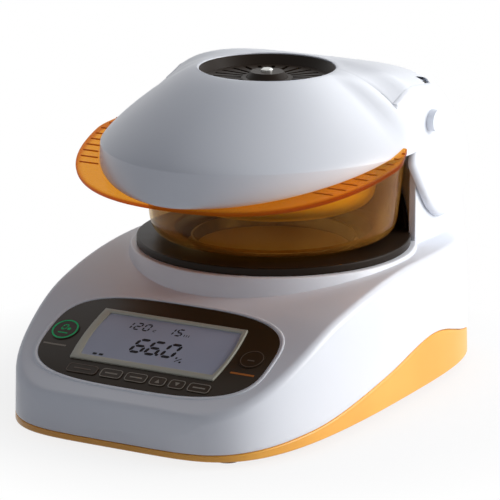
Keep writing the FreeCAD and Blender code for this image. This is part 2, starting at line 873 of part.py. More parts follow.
def rocker_frame():
    body, back, at = rear_piece(size("rocker_width"), size("rocker_height"), size("rocker_out"), 14)
    return body.cut(Part.makeBox(size("rocker_width") - 3, 11, size("rocker_height") - 3,
                                 Vector(size("rocker_out") - size("rocker_width") / 2 + 1.5, back - 11,
                                        at - size("rocker_height") / 2 + 1.5)))


def rocker_switch():
    """Rocker with two sloping faces that meet over its pivot."""
    at = size("inlet_lift")
    back = rear_wall_back(size("rocker_out")) + 0.6
    half = size("rocker_height") / 2 - 2.9
    width = size("rocker_width") - 3.8
    points = [side_point(back - 5, at - half), side_point(back + 1.2, at - half), side_point(back - 0.8, at),
              side_point(back - 0.4, at + half), side_point(back - 5, at + half), side_point(back - 7.5, at)]
    face = Part.Face(Part.Wire(straight(*points, points[0])))
    face.translate(Vector(size("rocker_out") - width / 2, 0, 0))
    return face.extrude(Vector(width, 0, 0))


feature("switch_frame", rocker_frame())
feature("rocker_switch", rocker_switch())


# the hood

def crease_plane(back):
    return size("crease_height") - size("crease_tilt") * back


def visor_plane(back):
    """Height of the visor's underside."""
    return size("visor_front_height") + size("visor_slope") * (back + size("visor_front_reach") + size("hood_centre_forward"))


def hood_level(turn, inset):
    """One closed outline of the dome, from the crease at 0 degrees to the vent at 90."""
    spread = math.cos(math.radians(turn))
    rise = math.sin(math.radians(turn))
    vent = size("vent_radius") + size("vent_rim")
    half = vent + (size("hood_half_width") - inset - vent) * spread
    forward = vent + (size("hood_front_reach") - inset - vent) * spread
    rearward = vent + (size("hood_rear_reach") - inset - vent) * spread
    top = size("vent_height") - inset

    def height(back):
        return crease_plane(back) * (1 - rise) + top * rise

    return superellipse(lambda back: half, forward, rearward, 2.0, -size("hood_centre_forward"), height)


DOME_TURNS = (0, 18, 36, 54, 70, 82, 90)


def dome(inset):
    return loft([hood_level(turn, inset) for turn in DOME_TURNS])


def skirt(inset):
    """The band under the crease, drawn in towards the visor."""
    low = size("visor_front_height") - 4

    def outline(grow, height):
        half = size("hood_half_width") - inset + grow
        reach_front = size("hood_front_reach") - inset + grow
        reach_rear = size("hood_rear_reach") - inset + grow
        return superellipse(lambda back: half, reach_front, reach_rear, 2.0, -size("hood_centre_forward"), height)

    band = loft([outline(-size("skirt_tuck"), lambda back: low), outline(0.0, crease_plane)], True)
    return band.cut(below_slope(size("visor_thickness")))


def below_slope(shift):
    """Everything under the visor's sloping plane, raised by shift."""
    points = [side_point(-260, visor_plane(-260) + shift), side_point(200, visor_plane(200) + shift),
              side_point(200, -100), side_point(-260, -100)]
    return slab(straight(*points, points[0]), 200)


def dome_cutter():
    """The slanted plane where the dome steps down to the rear block."""
    points = [side_point(10, 150), side_point(24, 202), side_point(27, 260), side_point(200, 260), side_point(200, 150)]
    return slab(straight(*points, points[0]), 200)


def barrel_end(radius, angle):
    turn = math.radians(angle)
    return side_point(pivot_back + radius * math.cos(turn), pivot_height + radius * math.sin(turn))


def rear_block(inset):
    """Top and rear of the hood: a plain curve round the hinge's axis."""
    radius = size("barrel_radius") - inset
    low = crease_plane(0) - 0.4
    end_angle = -math.degrees(math.asin((pivot_height - low) / radius))
    front_side = -5.0
    edges = straight(side_point(front_side, low), side_point(front_side, size("vent_height") - 6 - inset),
                     side_point(25, size("vent_height") - 3 - inset), barrel_end(radius, 88))
    edges += [bent(barrel_end(radius, 88), barrel_end(radius, 35), barrel_end(radius, end_angle))]
    edges += straight(barrel_end(radius, end_angle), side_point(front_side, low))
    return edges


def ears():
    """Two flat cheeks outside the column that swing on the pins."""
    tip = [side_point(pivot_back + back, pivot_height + up) for back, up in (
        (53, -11), (64, -35), (54, -54), (39, -66), (26, -71), (14, -68), (5, -58), (-8, -38), (-18, -18))]
    low = crease_plane(0)
    corner = side_point(-5, low)
    high = side_point(-5, size("vent_height") - 9)
    top = side_point(25, size("vent_height") - 4)
    edges = straight(corner, high, top, barrel_end(size("barrel_radius"), 88))
    edges += [bent(barrel_end(size("barrel_radius"), 88), barrel_end(size("barrel_radius"), 60),
                   barrel_end(size("barrel_radius"), 36))]
    edges += straight(barrel_end(size("barrel_radius"), 36), tip[0])
    edges += [curved(*tip)] + straight(tip[-1], corner)
    inside = size("column_half_width") + size("ear_gap")
    return slab(edges, inside + size("ear_thickness"), inside)


def hood_shell():
    inside = size("column_half_width") + size("ear_gap")
    outside = inside + size("ear_thickness")
    barrel_half = size("column_half_width") - size("cheek_thickness") - size("ear_gap")
    hood_wall = size("hood_wall")
    cap = dome(0.0).fuse(skirt(0.0)).cut(dome_cutter())
    hollow = dome(hood_wall).fuse(skirt(hood_wall)).cut(dome_cutter())
    block = slab(rear_block(0.0), outside)
    block_hollow = slab(rear_block(size("barrel_wall")), inside)
    slots = slab(rear_block(-5.0), inside).cut(slab(rear_block(-6.0), barrel_half))
    slots = slots.cut(Part.makeBox(400, pivot_back + chamber + 200, TALL, Vector(-200, -200, 0)))
    shell = cap.fuse([block, ears()])
    below = Part.makeBox(2 * inside, 300, crease_plane(0) - 0.4, Vector(-inside, chamber - 4, 0))
    shell = shell.cut(hollow.fuse(block_hollow)).cut(slots).cut(below)
    shell = shell.cut(upright(size("vent_radius"), size("vent_height") - 20, TALL, -size("hood_centre_forward")))
    shell = shell.cut(upright(size("glass_top_radius") + 1.5 + gap, 0, crease_plane(0) + 0.2))
    pins = across(size("pin_radius"), -outside - 1, outside + 1, pivot_back, pivot_height)
    return shell.cut(pins)


feature("hood_shell", hood_shell())


def liner_outline(inset, level):
    """Face inside the dome's wall, at one height."""
    inset += size("hood_wall") + gap
    edge = superellipse(lambda back: size("hood_half_width") - inset, size("hood_front_reach") - inset,
                        size("hood_rear_reach"), 2.0, -size("hood_centre_forward"), lambda back: level)
    return Part.Face(edge)


def visor():
    """Amber lip under the skirt, with short ribs on both grips."""
    thick = size("visor_thickness")
    reach_front = size("visor_front_reach")
    centre = -size("hood_centre_forward")
    outline = [superellipse(lambda back: size("visor_half_width"), reach_front, reach_front * 0.9,
                            size("visor_squareness"), centre, lambda back: height) for height in (100, 230)]
    plate_solid = loft(outline, True).common(below_slope(thick - 0.05)).cut(below_slope(0.0))
    plate_solid = plate_solid.cut(upright(size("glass_top_radius") + 3.5, 0, TALL))
    plate_solid = plate_solid.common(Part.makeBox(400, 300, TALL, Vector(-200, chamber - 14 - 300, 0)))
    headroom = liner_outline(0.0, crease_plane(0) - 0.1).extrude(Vector(0, 0, 20))
    plate_solid = plate_solid.cut(dome(0.0)).cut(headroom)
    grooves = []
    slope = math.degrees(math.atan(size("visor_slope")))
    for index in range(int(size("visor_ribs"))):
        back = -92 + size("rib_pitch") * 1.9 * index
        for side in (-1, 1):
            groove = Part.makeBox(24, size("rib_width"), 4, Vector(side * 88 - (24 if side < 0 else 0), 0, 0))
            groove.rotate(Vector(), Vector(1, 0, 0), slope)
            groove.translate(Vector(0, chamber + back, visor_plane(back) + thick - size("rib_depth")))
            grooves.append(groove)
    return plate_solid.cut(grooves)


feature("visor", visor())


def hood_liner():
    """Plate that closes the hood's underside round the reflector."""
    barrel_half = size("column_half_width") - size("cheek_thickness") - size("ear_gap")
    level = crease_plane(0) + 0.2
    thick = size("liner_thickness")
    plate_solid = liner_outline(1.0, level).extrude(Vector(0, 0, thick))
    behind = Part.makeBox(400, 300, 20, Vector(-200, chamber + 8, level - 5))
    reach_back = pivot_back + math.sqrt((size("barrel_radius") - size("barrel_wall") - gap) ** 2
                                        - (pivot_height - level) ** 2)
    tail = Part.makeBox(2 * (barrel_half - 0.3), reach_back - 5, thick, Vector(-barrel_half + 0.3, chamber + 5, level))
    plate_solid = plate_solid.cut(behind).fuse(tail)
    return plate_solid.cut(upright(size("reflector_radius") + 0.2, 0, TALL))


feature("hood_liner", hood_liner())

wall_lean = "(glass_top_radius - glass_bottom_radius)"
node(turned("glass_windshield", [
    ("glass_mouth_radius", "glass_bottom"),
    ("glass_bottom_radius - glass_corner", "glass_bottom"),
    ("glass_bottom_radius - glass_corner * 0.5", "glass_bottom + glass_corner * 0.134"),
    ("glass_bottom_radius - glass_corner * 0.134", "glass_bottom + glass_corner * 0.5"),
    ("glass_bottom_radius", "glass_bottom + glass_corner"),
    ("glass_top_radius", "glass_top"),
    ("glass_top_radius - glass_wall", "glass_top"),
    ("glass_bottom_radius - glass_wall", "glass_bottom + glass_corner"),
    ("glass_bottom_radius - glass_wall - (glass_corner - glass_wall) * 0.134",
     "glass_bottom + glass_corner - (glass_corner - glass_wall) * 0.5"),
    ("glass_bottom_radius - glass_wall - (glass_corner - glass_wall) * 0.5",
     "glass_bottom + glass_corner - (glass_corner - glass_wall) * 0.866"),
    ("glass_bottom_radius - glass_corner", "glass_bottom + glass_wall"),
    ("glass_mouth_radius", "glass_bottom + glass_wall"),
], "0", "chamber_back"), "glass_windshield")

liner_level = "(crease_height + 0.2)"
node(turned("glass_ring", [
    ("glass_top_radius - glass_wall - 2", liner_level),
    ("glass_top_radius - glass_wall - 2", "glass_top"),
    ("glass_top_radius + 1.5", "glass_top"),
    ("glass_top_radius + 1.5", liner_level),
], "0", "chamber_back"), "glass_ring")

node(turned("reflector", [
    ("reflector_radius - reflector_corner", "reflector_bottom"),
    ("reflector_radius - reflector_corner * 0.3", "reflector_bottom + reflector_corner * 0.3"),
    ("reflector_radius", "reflector_bottom + reflector_corner"),
    ("reflector_radius", liner_level + " + liner_thickness"),
    ("reflector_radius + 3", liner_level + " + liner_thickness"),
    ("reflector_radius + 3", liner_level + " + liner_thickness + reflector_wall"),
    ("0", liner_level + " + liner_thickness + reflector_wall"),
    ("0", liner_level + " + liner_thickness"),
    ("reflector_radius - reflector_wall", liner_level + " + liner_thickness"),
    ("reflector_radius - reflector_wall", "reflector_bottom + reflector_corner"),
    ("reflector_radius - reflector_corner * 0.3 - reflector_wall", "reflector_bottom + reflector_corner * 0.3"),
    ("reflector_radius - reflector_corner - reflector_wall", "reflector_bottom"),
], "0", "chamber_back"), "reflector")

tubes = [rod(f"tube_{index}", "heater_radius", "2 * heater_half_length", "-heater_half_length",
             f"chamber_back + {sign} * heater_spacing", "heater_height", "x") for index, sign in enumerate((-1, 1))]
node(group("tubes", tubes), "heater_tubes")
holders = []
for index, (side, sign) in enumerate((a, b) for a in (-1, 1) for b in (-1, 1)):
    holders.append(box(f"holder_{index}", "4", "12", "(crease_height + 0.2 + liner_thickness) - heater_height + 6",
                       f"{side} * (heater_half_length + 2)", f"chamber_back + {sign} * heater_spacing",
                       "heater_height - 6"))
node(group("holders", holders), "heater_holders")
node(rod("sensor", "1.5", "crease_height + 0.2 + liner_thickness - 128", "0", "chamber_back", "128"),
     "temperature_sensor")


def vent_grille():
    """Dished insert with radial slots and a hub."""
    radius = size("vent_radius")
    top = size("vent_height") - size("grille_depth")
    thick = size("grille_thickness")
    hub = size("grille_hub_radius")
    rim = size("vent_height") - 0.6
    grille = spun([(0, top + 4), (hub, top + 4), (hub + 3, top), (radius - 4, top), (radius - gap, rim),
                   (radius - gap, top - thick), (0, top - thick)], -size("hood_centre_forward"))
    count = int(size("grille_slots"))
    slots = []
    for index in range(count):
        slot = Part.makeBox(radius - hub - 14, size("grille_slot_width"), 40,
                            Vector(hub + 6, -size("grille_slot_width") / 2, top - 20))
        slot.rotate(Vector(), Vector(0, 0, 1), 360 / count * (index + 0.5))
        slot.translate(Vector(0, chamber - size("hood_centre_forward"), 0))
        slots.append(slot)
    hole = upright(size("screw_radius") + gap, 0, TALL, -size("hood_centre_forward"))
    return grille.cut(slots + [hole])


feature("vent_grille", vent_grille())
vent_axis = "chamber_back - hood_centre_forward"
node(turned("vent_screw", [
    ("0", "-8"), ("screw_radius", "-8"), ("screw_radius", "0"), ("screw_head_radius + 1", "0"),
    ("screw_head_radius + 1", "screw_head_height * 0.6"), ("screw_head_radius", "screw_head_height"),
    ("0", "screw_head_height"),
], "0", vent_axis, "vent_height - grille_depth + 4"), "vent_screw")

# hinge
inside_cheek = "column_half_width - cheek_thickness"
pin_length = "cheek_thickness + ear_gap + ear_thickness"
pins = []
bushes = []
caps = []
for index, side in enumerate((-1, 1)):
    pins.append(rod(f"pin_{index}", "pin_radius", pin_length,
                    inside_cheek if side > 0 else f"-({inside_cheek}) - ({pin_length})",
                    "chamber_back + pivot_back", "pivot_height", "x"))
    start = inside_cheek if side > 0 else "-column_half_width"
    sleeve = rod(f"sleeve_{index}", "pin_radius + bush_wall", "cheek_thickness", start,
                 "chamber_back + pivot_back", "pivot_height", "x")
    bore = rod(f"bush_bore_{index}", "pin_radius + pin_clearance", "cheek_thickness + 2", start + " - 1",
               "chamber_back + pivot_back", "pivot_height", "x")
    bushes.append(cut(f"bush_{index}", sleeve, [bore]))
    outer_face = "column_half_width + ear_gap + ear_thickness"
    caps.append(rod(f"cap_{index}", "cap_radius", "cap_length",
                    outer_face if side > 0 else f"-({outer_face}) - cap_length",
                    "chamber_back + pivot_back", "pivot_height", "x"))
node(group("pins", pins), "hinge_pins")
node(group("bushes", bushes), "hinge_bushes")
node(group("caps", caps), "hinge_caps")

doc.recompute()

faulty = [item.Name for item in doc.Objects if "Invalid" in item.State or "Error" in item.State]
if faulty:
    raise RuntimeError(f"failed objects: {faulty}")
for item in nodes:
    if item.Shape.isNull() or not item.Shape.isValid():
        raise RuntimeError(f"bad shape: {item.Label}")

os.makedirs("parts", exist_ok=True)
for item in nodes:
    item.Shape.exportStep(f"parts/{item.Label}.step")
    box_of = item.Shape.BoundBox
    print(item.Label, len(item.Shape.Solids), round(item.Shape.Volume),
          [round(value, 1) for value in (box_of.XMin, box_of.XMax, box_of.YMin, box_of.YMax, box_of.ZMin, box_of.ZMax)])
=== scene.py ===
"""Looks of a bench-top moisture analyzer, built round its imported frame.

Lengths in the surface functions are millimetres: X to the right, back = distance behind the
chamber's axis, Z above the table. They become metres when a mesh is made.
"""

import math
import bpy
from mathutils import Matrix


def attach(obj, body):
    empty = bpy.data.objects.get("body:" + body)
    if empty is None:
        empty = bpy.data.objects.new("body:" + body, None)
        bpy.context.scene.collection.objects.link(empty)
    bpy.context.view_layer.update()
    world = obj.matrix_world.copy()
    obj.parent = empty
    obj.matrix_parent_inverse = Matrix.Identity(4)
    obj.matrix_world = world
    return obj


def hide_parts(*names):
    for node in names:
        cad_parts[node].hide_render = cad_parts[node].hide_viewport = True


bl_info = {
    "name": "Moisture analyzer",
    "version": (1, 0, 0),
    "blender": (4, 5, 0),
    "location": "View3D > Sidebar > Analyzer",
    "description": "Builds the visible pieces of a bench-top moisture analyzer",
    "category": "Object",
}

import bmesh
import bpy
import numpy as np
from mathutils import Matrix, Vector

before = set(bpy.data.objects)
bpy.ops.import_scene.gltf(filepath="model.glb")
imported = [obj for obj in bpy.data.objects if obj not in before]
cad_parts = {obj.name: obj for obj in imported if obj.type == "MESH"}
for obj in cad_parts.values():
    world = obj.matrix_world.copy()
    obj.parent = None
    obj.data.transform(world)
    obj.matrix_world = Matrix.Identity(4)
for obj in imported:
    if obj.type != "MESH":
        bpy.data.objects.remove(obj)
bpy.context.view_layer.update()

MM = 0.001
CHAMBER = 38.7
TURN = 2 * math.pi
QUARTER = math.pi / 2


# colour and materials

def linear(text):
    """Linear colour of an sRGB hex value, with full opacity."""
    parts = [int(text[index:index + 2], 16) / 255 for index in (0, 2, 4)]
    return [part / 12.92 if part <= 0.04045 else ((part + 0.055) / 1.055) ** 2.4 for part in parts] + [1.0]


def add_node(tree, kind, inputs=None, **settings):
    """Adds a shader node, sets its properties, and fills or links its inputs by name or number."""
    node = tree.nodes.new("ShaderNode" + kind)
    for name, value in settings.items():
        setattr(node, name, value)
    for key, value in (inputs or {}).items():
        if isinstance(value, bpy.types.NodeSocket):
            tree.links.new(value, node.inputs[key])
        else:
            node.inputs[key].default_value = value
    return node


def new_material(name):
    """An empty node tree with its principled shader and output, and Object coordinates."""
    material = bpy.data.materials.new(name)
    material.use_nodes = True
    tree = material.node_tree
    tree.nodes.clear()
    shader = add_node(tree, "BsdfPrincipled")
    add_node(tree, "OutputMaterial", {"Surface": shader.outputs[0]})
    coords = add_node(tree, "TexCoord").outputs["Object"]
    return material, tree, shader, coords


def put(shader, **values):
    """Sets uniform values on the shader's own sockets; underscores stand for blanks."""
    for name, value in values.items():
        shader.inputs[name.replace("_", " ")].default_value = value


def noise(tree, coords, size_mm, detail, roughness=0.5):
    """Noise with cells of a real size."""
    return add_node(tree, "TexNoise", {"Vector": coords, "Scale": 1.0 / (size_mm * MM), "Detail": detail,
                                       "Roughness": roughness}).outputs["Fac"]


def ranged(tree, value, start, end, low, high):
    """A value carried from one range, start to end, to another, low to high."""
    return add_node(tree, "MapRange", {"Value": value, "From Min": start, "From Max": end, "To Min": low,
                                       "To Max": high}).outputs[0]


def grain(tree, shader, coords, size_mm, depth_mm, strength, detail=3.0):
    """Fine bump of a moulded or cast surface."""
    height = noise(tree, coords, size_mm, detail, 0.6)
    bump = add_node(tree, "Bump", {"Height": height, "Distance": depth_mm * MM, "Strength": strength})
    tree.links.new(bump.outputs[0], shader.inputs["Normal"])


def two_tone(tree, shader, coords, size_mm, shades, spread=(0.35, 0.65)):
    """Slow colour variation between two near shades, as handling and moulding leave it."""
    ramp = add_node(tree, "ValToRGB", {"Fac": noise(tree, coords, size_mm, 2.0)})
    for element, place, shade in zip(ramp.color_ramp.elements, spread, shades):
        element.position, element.color = place, linear(shade)
    tree.links.new(ramp.outputs[0], shader.inputs["Base Color"])


def rough_range(tree, shader, coords, size_mm, low, high):
    """Roughness that wanders between two values, from handling."""
    tree.links.new(ranged(tree, noise(tree, coords, size_mm, 4.0), 0.3, 0.7, low, high), shader.inputs["Roughness"])


def moulded(name, shades, rough, cell_mm, depth_mm, strength, specular=0.5):
    """A moulded plastic: faint orange peel, a shade of variation and wandering gloss."""
    material, tree, shader, coords = new_material(name)
    two_tone(tree, shader, coords, 70.0, shades, (0.2, 0.8))
    rough_range(tree, shader, coords, 40.0, rough * 0.94, rough * 1.08)
    grain(tree, shader, coords, cell_mm, depth_mm, strength)
    put(shader, IOR=1.53, Specular_IOR_Level=specular)
    return material


def metal(name, shades, rough, stretch=(1.0, 1.0, 1.0), cell_mm=0.5, depth_mm=0.01, strength=0.3, painted_glow=0.0):
    """A bare metal: fine marks, drawn out along one axis where it was brushed or turned.

    The last argument is a faint painted yellow glow of its own, standing in for lamp light that gathers in a reflector.
    """
    material, tree, shader, coords = new_material(name)
    mapped = add_node(tree, "Mapping", {"Vector": coords, "Scale": stretch}).outputs[0]
    two_tone(tree, shader, mapped, 6.0, shades)
    rough_range(tree, shader, mapped, 3.0, rough * 0.8, rough * 1.25)
    grain(tree, shader, mapped, cell_mm, depth_mm, strength)
    put(shader, Metallic=1.0)
    if painted_glow:
        # Painted glow: faint yellow light given off by the surface itself.
        put(shader, Emission_Color=linear("FFC814"), Emission_Strength=painted_glow)
    return material


def mixed(tree, share, first, second):
    """Surface between two others."""
    return add_node(tree, "MixShader", {0: share, 1: first.outputs[0], 2: second.outputs[0]}).outputs[0]


def show(tree, surface):
    """Links a surface to the tree's output."""
    output = next(node for node in tree.nodes if node.bl_idname == "ShaderNodeOutputMaterial")
    tree.links.new(surface, output.inputs[0])


def let_through(tree, shader, share, tint):
    """Mixes the surface with plain see-through of a tint, for thin tinted walls."""
    show(tree, mixed(tree, share, shader, add_node(tree, "BsdfTransparent", {"Color": tint})))


def clear(name, shades, solid, rough, tint="FFFFFF"):
    """Clear glass, seen through thin walls: more solid at grazing angles, with faint streaks."""
    material, tree, shader, coords = new_material(name)
    two_tone(tree, shader, coords, 30.0, shades)
    grain(tree, shader, coords, 14.0, 0.05, 0.15, 1.0)
    facing = add_node(tree, "LayerWeight", {"Blend": 0.35}).outputs["Facing"]
    let_through(tree, shader, ranged(tree, facing, 0.0, 1.0, 1 - solid[0], 1 - solid[1]), linear(tint))
    put(shader, Roughness=rough, IOR=1.5, Specular_IOR_Level=0.3)
    return material


MATERIALS = {}
# Roughness, grain size, its depth and its strength of every flat print.
INK = (0.5, 0.3, 0.004, 0.1)

# Real material and make, two near shades, roughness, size, depth and strength of the grain, gloss level.
MOULDED = {
    # Gloss ABS, injection moulded: smooth, bluish white, soft wide highlights.
    "white ABS": ("white ABS, moulded", ("E6EAF2", "EAEDF4"), 0.34, 1.1, 0.008, 0.12, 0.4),
    # The same resin in orange, a little duller.
    "orange ABS": ("orange ABS, moulded", ("EFA22E", "F7B548"), 0.33, 1.0, 0.012, 0.25),
    # Filled PPS: near-black brown with a satin face.
    "brown PPS": ("brown heat-resistant PPS, moulded", ("1C140D", "281E16"), 0.42, 0.7, 0.02, 0.35, 0.1),
    # Polyester film printed from behind: an even dark brown under a flat sheen.
    "brown overlay": ("brown polyester overlay, printed", ("2A1E13", "34281B"), 0.3, 0.5, 0.006, 0.2, 0.12),
    # ABS from a spark-eroded mould: warm grey, fine and dull.
    "grey ABS": ("grey ABS, fine spark texture", ("A3A294", "B0AFA2"), 0.45, 0.5, 0.02, 0.4),
    # Nylon: black, dull and a little waxy.
    "black nylon": ("black nylon, moulded", ("17171A", "242428"), 0.5, 0.5, 0.02, 0.4),
    # Rubber: black and matt, with a coarser skin.
    "black rubber": ("black rubber, moulded", ("141414", "202020"), 0.8, 0.4, 0.04, 0.6),
    # Steatite, pressed and fired: chalky off-white.
    "white ceramic": ("steatite ceramic, pressed", ("DCD8CC", "EAE6DA"), 0.6, 0.3, 0.02, 0.4),
    # Glass-epoxy board under its solder mask: smooth green.
    "board": ("glass-epoxy board", ("1C5A34", "23683F"), 0.4, 0.3, 0.01, 0.3),
    # Reflective liquid crystal: pale blue-grey and soft.
    "cell": ("liquid-crystal cell, reflective", ("A4AABC", "B6BED2"), 0.35, 0.3, 0.004, 0.2, 0.2),
    # Dark segments of the cell, and flat screen inks on the overlay and the keys.
    "print": ("display segments", ("0E0F14", "16171D"), *INK, 0.1),
    "pale print": ("pale screen print", ("8C857A", "9A9388"), *INK, 0.15),
    "orange print": ("orange screen print", ("A8602A", "B86E34"), *INK, 0.15),
    "dim print": ("dim screen print", ("5A4E44", "665A50"), *INK, 0.15),
    "green print": ("green screen print", ("22C070", "34D888"), *INK, 0.15),
}
# Real material and make, two near shades, roughness, stretch of the marks, their size, depth, strength and painted
# glow.
METALS = {
    # Rolled sheet, pressed: soft grey reflections.
    "sheet aluminium": ("pressed sheet aluminium", ("6A6865", "7E7B77"), 0.34, (1, 1, 1), 0.6),
    # Milled bar: fine marks across it.
    "machined aluminium": ("machined aluminium", ("B4B6BA", "C6C8CC"), 0.35, (1, 12, 12)),
    # Sand-cast block: coarse and dull.
    "cast aluminium": ("cast aluminium", ("9A9B9E", "B0B1B4"), 0.55, (1, 1, 1), 0.8, 0.05, 0.5),
    # Brushed steel: bright with drawn-out marks.
    "stainless steel": ("stainless steel, brushed", ("B8B8B6", "CFCFCC"), 0.3, (1, 14, 14)),
    # Zinc plating: even and bright.
    "plated steel": ("zinc-plated steel", ("B0B2B0", "C9CBC8"), 0.25),
    # Turned brass: yellow with rings round its axis.
    "brass": ("turned brass", ("B8913E", "CFA851"), 0.3, (1, 1, 10)),
    # Gold coat on formed sheet: bright yellow, a little blurred, with a faint painted glow of its own.
    "gold coat": ("gold-coated reflector, polished", ("FFCE22", "FFDE3C"), 0.42, (1, 1, 1), 1.5, 0.01, 0.2, 0.06),
}


def make_materials():
    """Every finish on the object, named for the real material and how it was made."""
    for kind, table in ((moulded, MOULDED), (metal, METALS)):
        for finish, values in table.items():
            MATERIALS[finish] = kind(*values)
    # Drawn quartz: nearly colourless, bright at its rims.
    MATERIALS["quartz"] = clear("quartz tube", ("E6E2DA", "F0ECE4"), (0.35, 0.9), 0.1)
    # Pressed glass with painted gold light in it: its amber-brown shades are a painted reflection of the gold
    # reflector, clear to the front, amber at its rims.
    MATERIALS["glass"] = clear("clear heat-resistant glass", ("8A5A22", "B4823A"), (0.12, 0.6), 0.04, "F3E2BC")
    # Amber visor plastic, with a painted glow.
    MATERIALS["amber"] = amber_plastic()


def blended(tree, share, first, second):
    """Colour between two others by a linked share."""
    return add_node(tree, "Mix", {"Factor": share, "A": first, "B": second},
                    data_type="RGBA").outputs["Result"]


def amber_plastic():
    """Tinted polycarbonate, moulded: clear amber on the face, dark red-orange where light runs edge-on, with a faint
    painted orange glow all over.
    """
    material, tree, shader, coords = new_material("amber polycarbonate, moulded")
    edge = add_node(tree, "Attribute", attribute_name="edge").outputs["Fac"]
    face = blended(tree, noise(tree, coords, 25.0, 2.0), linear("F8AA22"), linear("FFC038"))
    tree.links.new(blended(tree, edge, face, linear("8A2A10")), shader.inputs["Base Color"])
    grain(tree, shader, coords, 1.2, 0.01, 0.2)
    # Painted glow: the amber gives off faint orange light of its own.
    put(shader, Roughness=0.22, IOR=1.58, Specular_IOR_Level=0.15, Emission_Color=linear("FFA61C"),
        Emission_Strength=0.25)
    let_through(tree, shader, 0.72, blended(tree, edge, linear("FFDC88"), linear("C4682C")))
    return material


# meshes from arrays

def row(back, height, out=0.0):
    """A point or points at a distance out, behind the chamber's axis and above the table."""
    out, back, height = np.broadcast_arrays(out, np.asarray(back, float) + CHAMBER, height)
    return np.stack([out, back, height], axis=-1).astype(float)


def soft_min(first, second, reach):
    """The lower of two values, joined by a parabola where they are within reach of each other."""
    share = np.clip(1 - np.abs(first - second) / reach, 0, 1)
    return np.minimum(first, second) - share * share * reach / 4


def full_turn(count):
    """Even steps round a circle."""
    return np.linspace(0, TURN, count, endpoint=False)


def smooth_step(value, low, high):
    """0 below low, 1 above high, with a cubic ease between."""
    share = np.clip((value - low) / (high - low), 0, 1)
    return share * share * (3 - 2 * share)


def grid(points, round_rows=False, round_columns=False):
    """Corners and quads of a grid of points shaped (rows, columns, 3)."""
    points = np.array(points)
    rows, columns = points.shape[:2]
    down = np.arange(rows if round_rows else rows - 1)[:, None]
    along = np.arange(columns if round_columns else columns - 1)[None, :]
    below = (down + 1) % rows
    beside = (along + 1) % columns
    quads = np.stack([down * columns + along, down * columns + beside,
                      below * columns + beside, below * columns + along], axis=-1).reshape(-1, 4)
    return points.reshape(-1, 3), quads


def placed(name, data):
    """A new object in the scene."""
    thing = bpy.data.objects.new(name, data)
    bpy.context.scene.collection.objects.link(thing)
    return thing


def make_piece(name, grids, material, sharp, caps=(), marks=None):
    """One object from several grids and flat end faces; doubles are merged and faces turned outwards."""
    corners, faces, start = [], [], 0
    for points, quads in grids:
        corners.append(points)
        faces += (quads + start).tolist()
        start += len(points)
    for points in caps:
        corners.append(points)
        faces.append(list(range(start, start + len(points))))
        start += len(points)
    mesh = bpy.data.meshes.new(name)
    mesh.from_pydata((np.concatenate(corners) * MM).tolist(), [], faces)
    if marks is not None:
        layer = mesh.attributes.new("edge", "FLOAT", "POINT")
        layer.data.foreach_set("value", np.asarray(marks, np.float32))
    work = bmesh.new()
    work.from_mesh(mesh)
    bmesh.ops.remove_doubles(work, verts=work.verts, dist=0.004 * MM)
    bmesh.ops.dissolve_degenerate(work, edges=work.edges, dist=0.002 * MM)
    bmesh.ops.recalc_face_normals(work, faces=work.faces)
    work.to_mesh(mesh)
    work.free()
    mesh.shade_smooth()
    mesh.set_sharp_from_angle(angle=math.radians(sharp))
    mesh.materials.append(MATERIALS[material])
    return placed(name, mesh)


def stand_for(piece, body, slot, *nodes):
    """Puts a piece on its body and hides the nodes that it replaces. The slot is not used."""
    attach(piece, body)
    if nodes:
        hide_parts(*nodes)


def gathered(solids):
    """All grids and all end faces of several (grid, end faces) pairs."""
    return [wall for wall, _ in solids], [end for _, ends in solids for end in ends]


def rounded_path(corners, steps=6):
    """A polyline (across, up, radius) with its inner corners replaced by arcs that touch both their sides.

    An arc is the quadratic curve start, corner, end, with start and end a radius away along the sides.
    """
    corners = np.asarray(corners, float)
    corners, radii = corners[:, :2], corners[:, 2]
    path = [corners[:1]]
    share = np.linspace(0, 1, steps)[:, None]
    for before, corner, after, radius in zip(corners, corners[1:], corners[2:], radii[1:]):
        if radius <= 0:
            path.append(corner[None])
            continue
        ends = []
        for side in (before - corner, after - corner):
            length = np.linalg.norm(side)
            ends.append(corner + side / length * min(radius, length * 0.49))
        path.append((1 - share) ** 2 * ends[0] + 2 * share * (1 - share) * corner + share ** 2 * ends[1])
    return np.concatenate(path + [corners[-1:]])


def spun(profile, columns):
    """A surface of revolution about the chamber's axis: (radius, height) carried round a circle."""
    turn = full_turn(columns)
    radius, height = profile[:, 0][:, None], profile[:, 1][:, None]
    return grid(row(radius * np.sin(turn), height, radius * np.cos(turn)), round_columns=True)


def open_spline(points, steps):
    """An open Catmull-Rom curve: a cubic between each pair, with the chord of its neighbours as slope.

    At both ends the missing neighbour lies as far beyond the end as the next point lies before it.
    """
    points = np.asarray(points, float)
    padded = np.concatenate([[2 * points[0] - points[1]], points, [2 * points[-1] - points[-2]]])
    share = np.linspace(0, 1, steps, endpoint=False)[:, None, None]
    before, here, after, beyond = padded[:-3], padded[1:-2], padded[2:-1], padded[3:]
    curve = 0.5 * (2 * here + (after - before) * share + (2 * before - 5 * here + 4 * after - beyond) * share ** 2
                   + (3 * here - before - 3 * after + beyond) * share ** 3)
    return np.concatenate([curve.transpose(1, 0, 2).reshape(-1, points.shape[1]), points[-1:]])


def inward(outline, distance):
    """A closed flat outline moved inwards along the normals of its own corners."""
    ahead, behind = np.roll(outline, -1, 0), np.roll(outline, 1, 0)
    tangent = ahead - behind
    tangent /= np.maximum(np.linalg.norm(tangent, axis=1, keepdims=True), 1e-9)
    normal = np.stack([-tangent[:, 1], tangent[:, 0]], axis=1)
    area = np.sum(outline[:, 0] * ahead[:, 1] - outline[:, 1] * ahead[:, 0])
    return outline + normal * distance * (1 if area > 0 else -1)


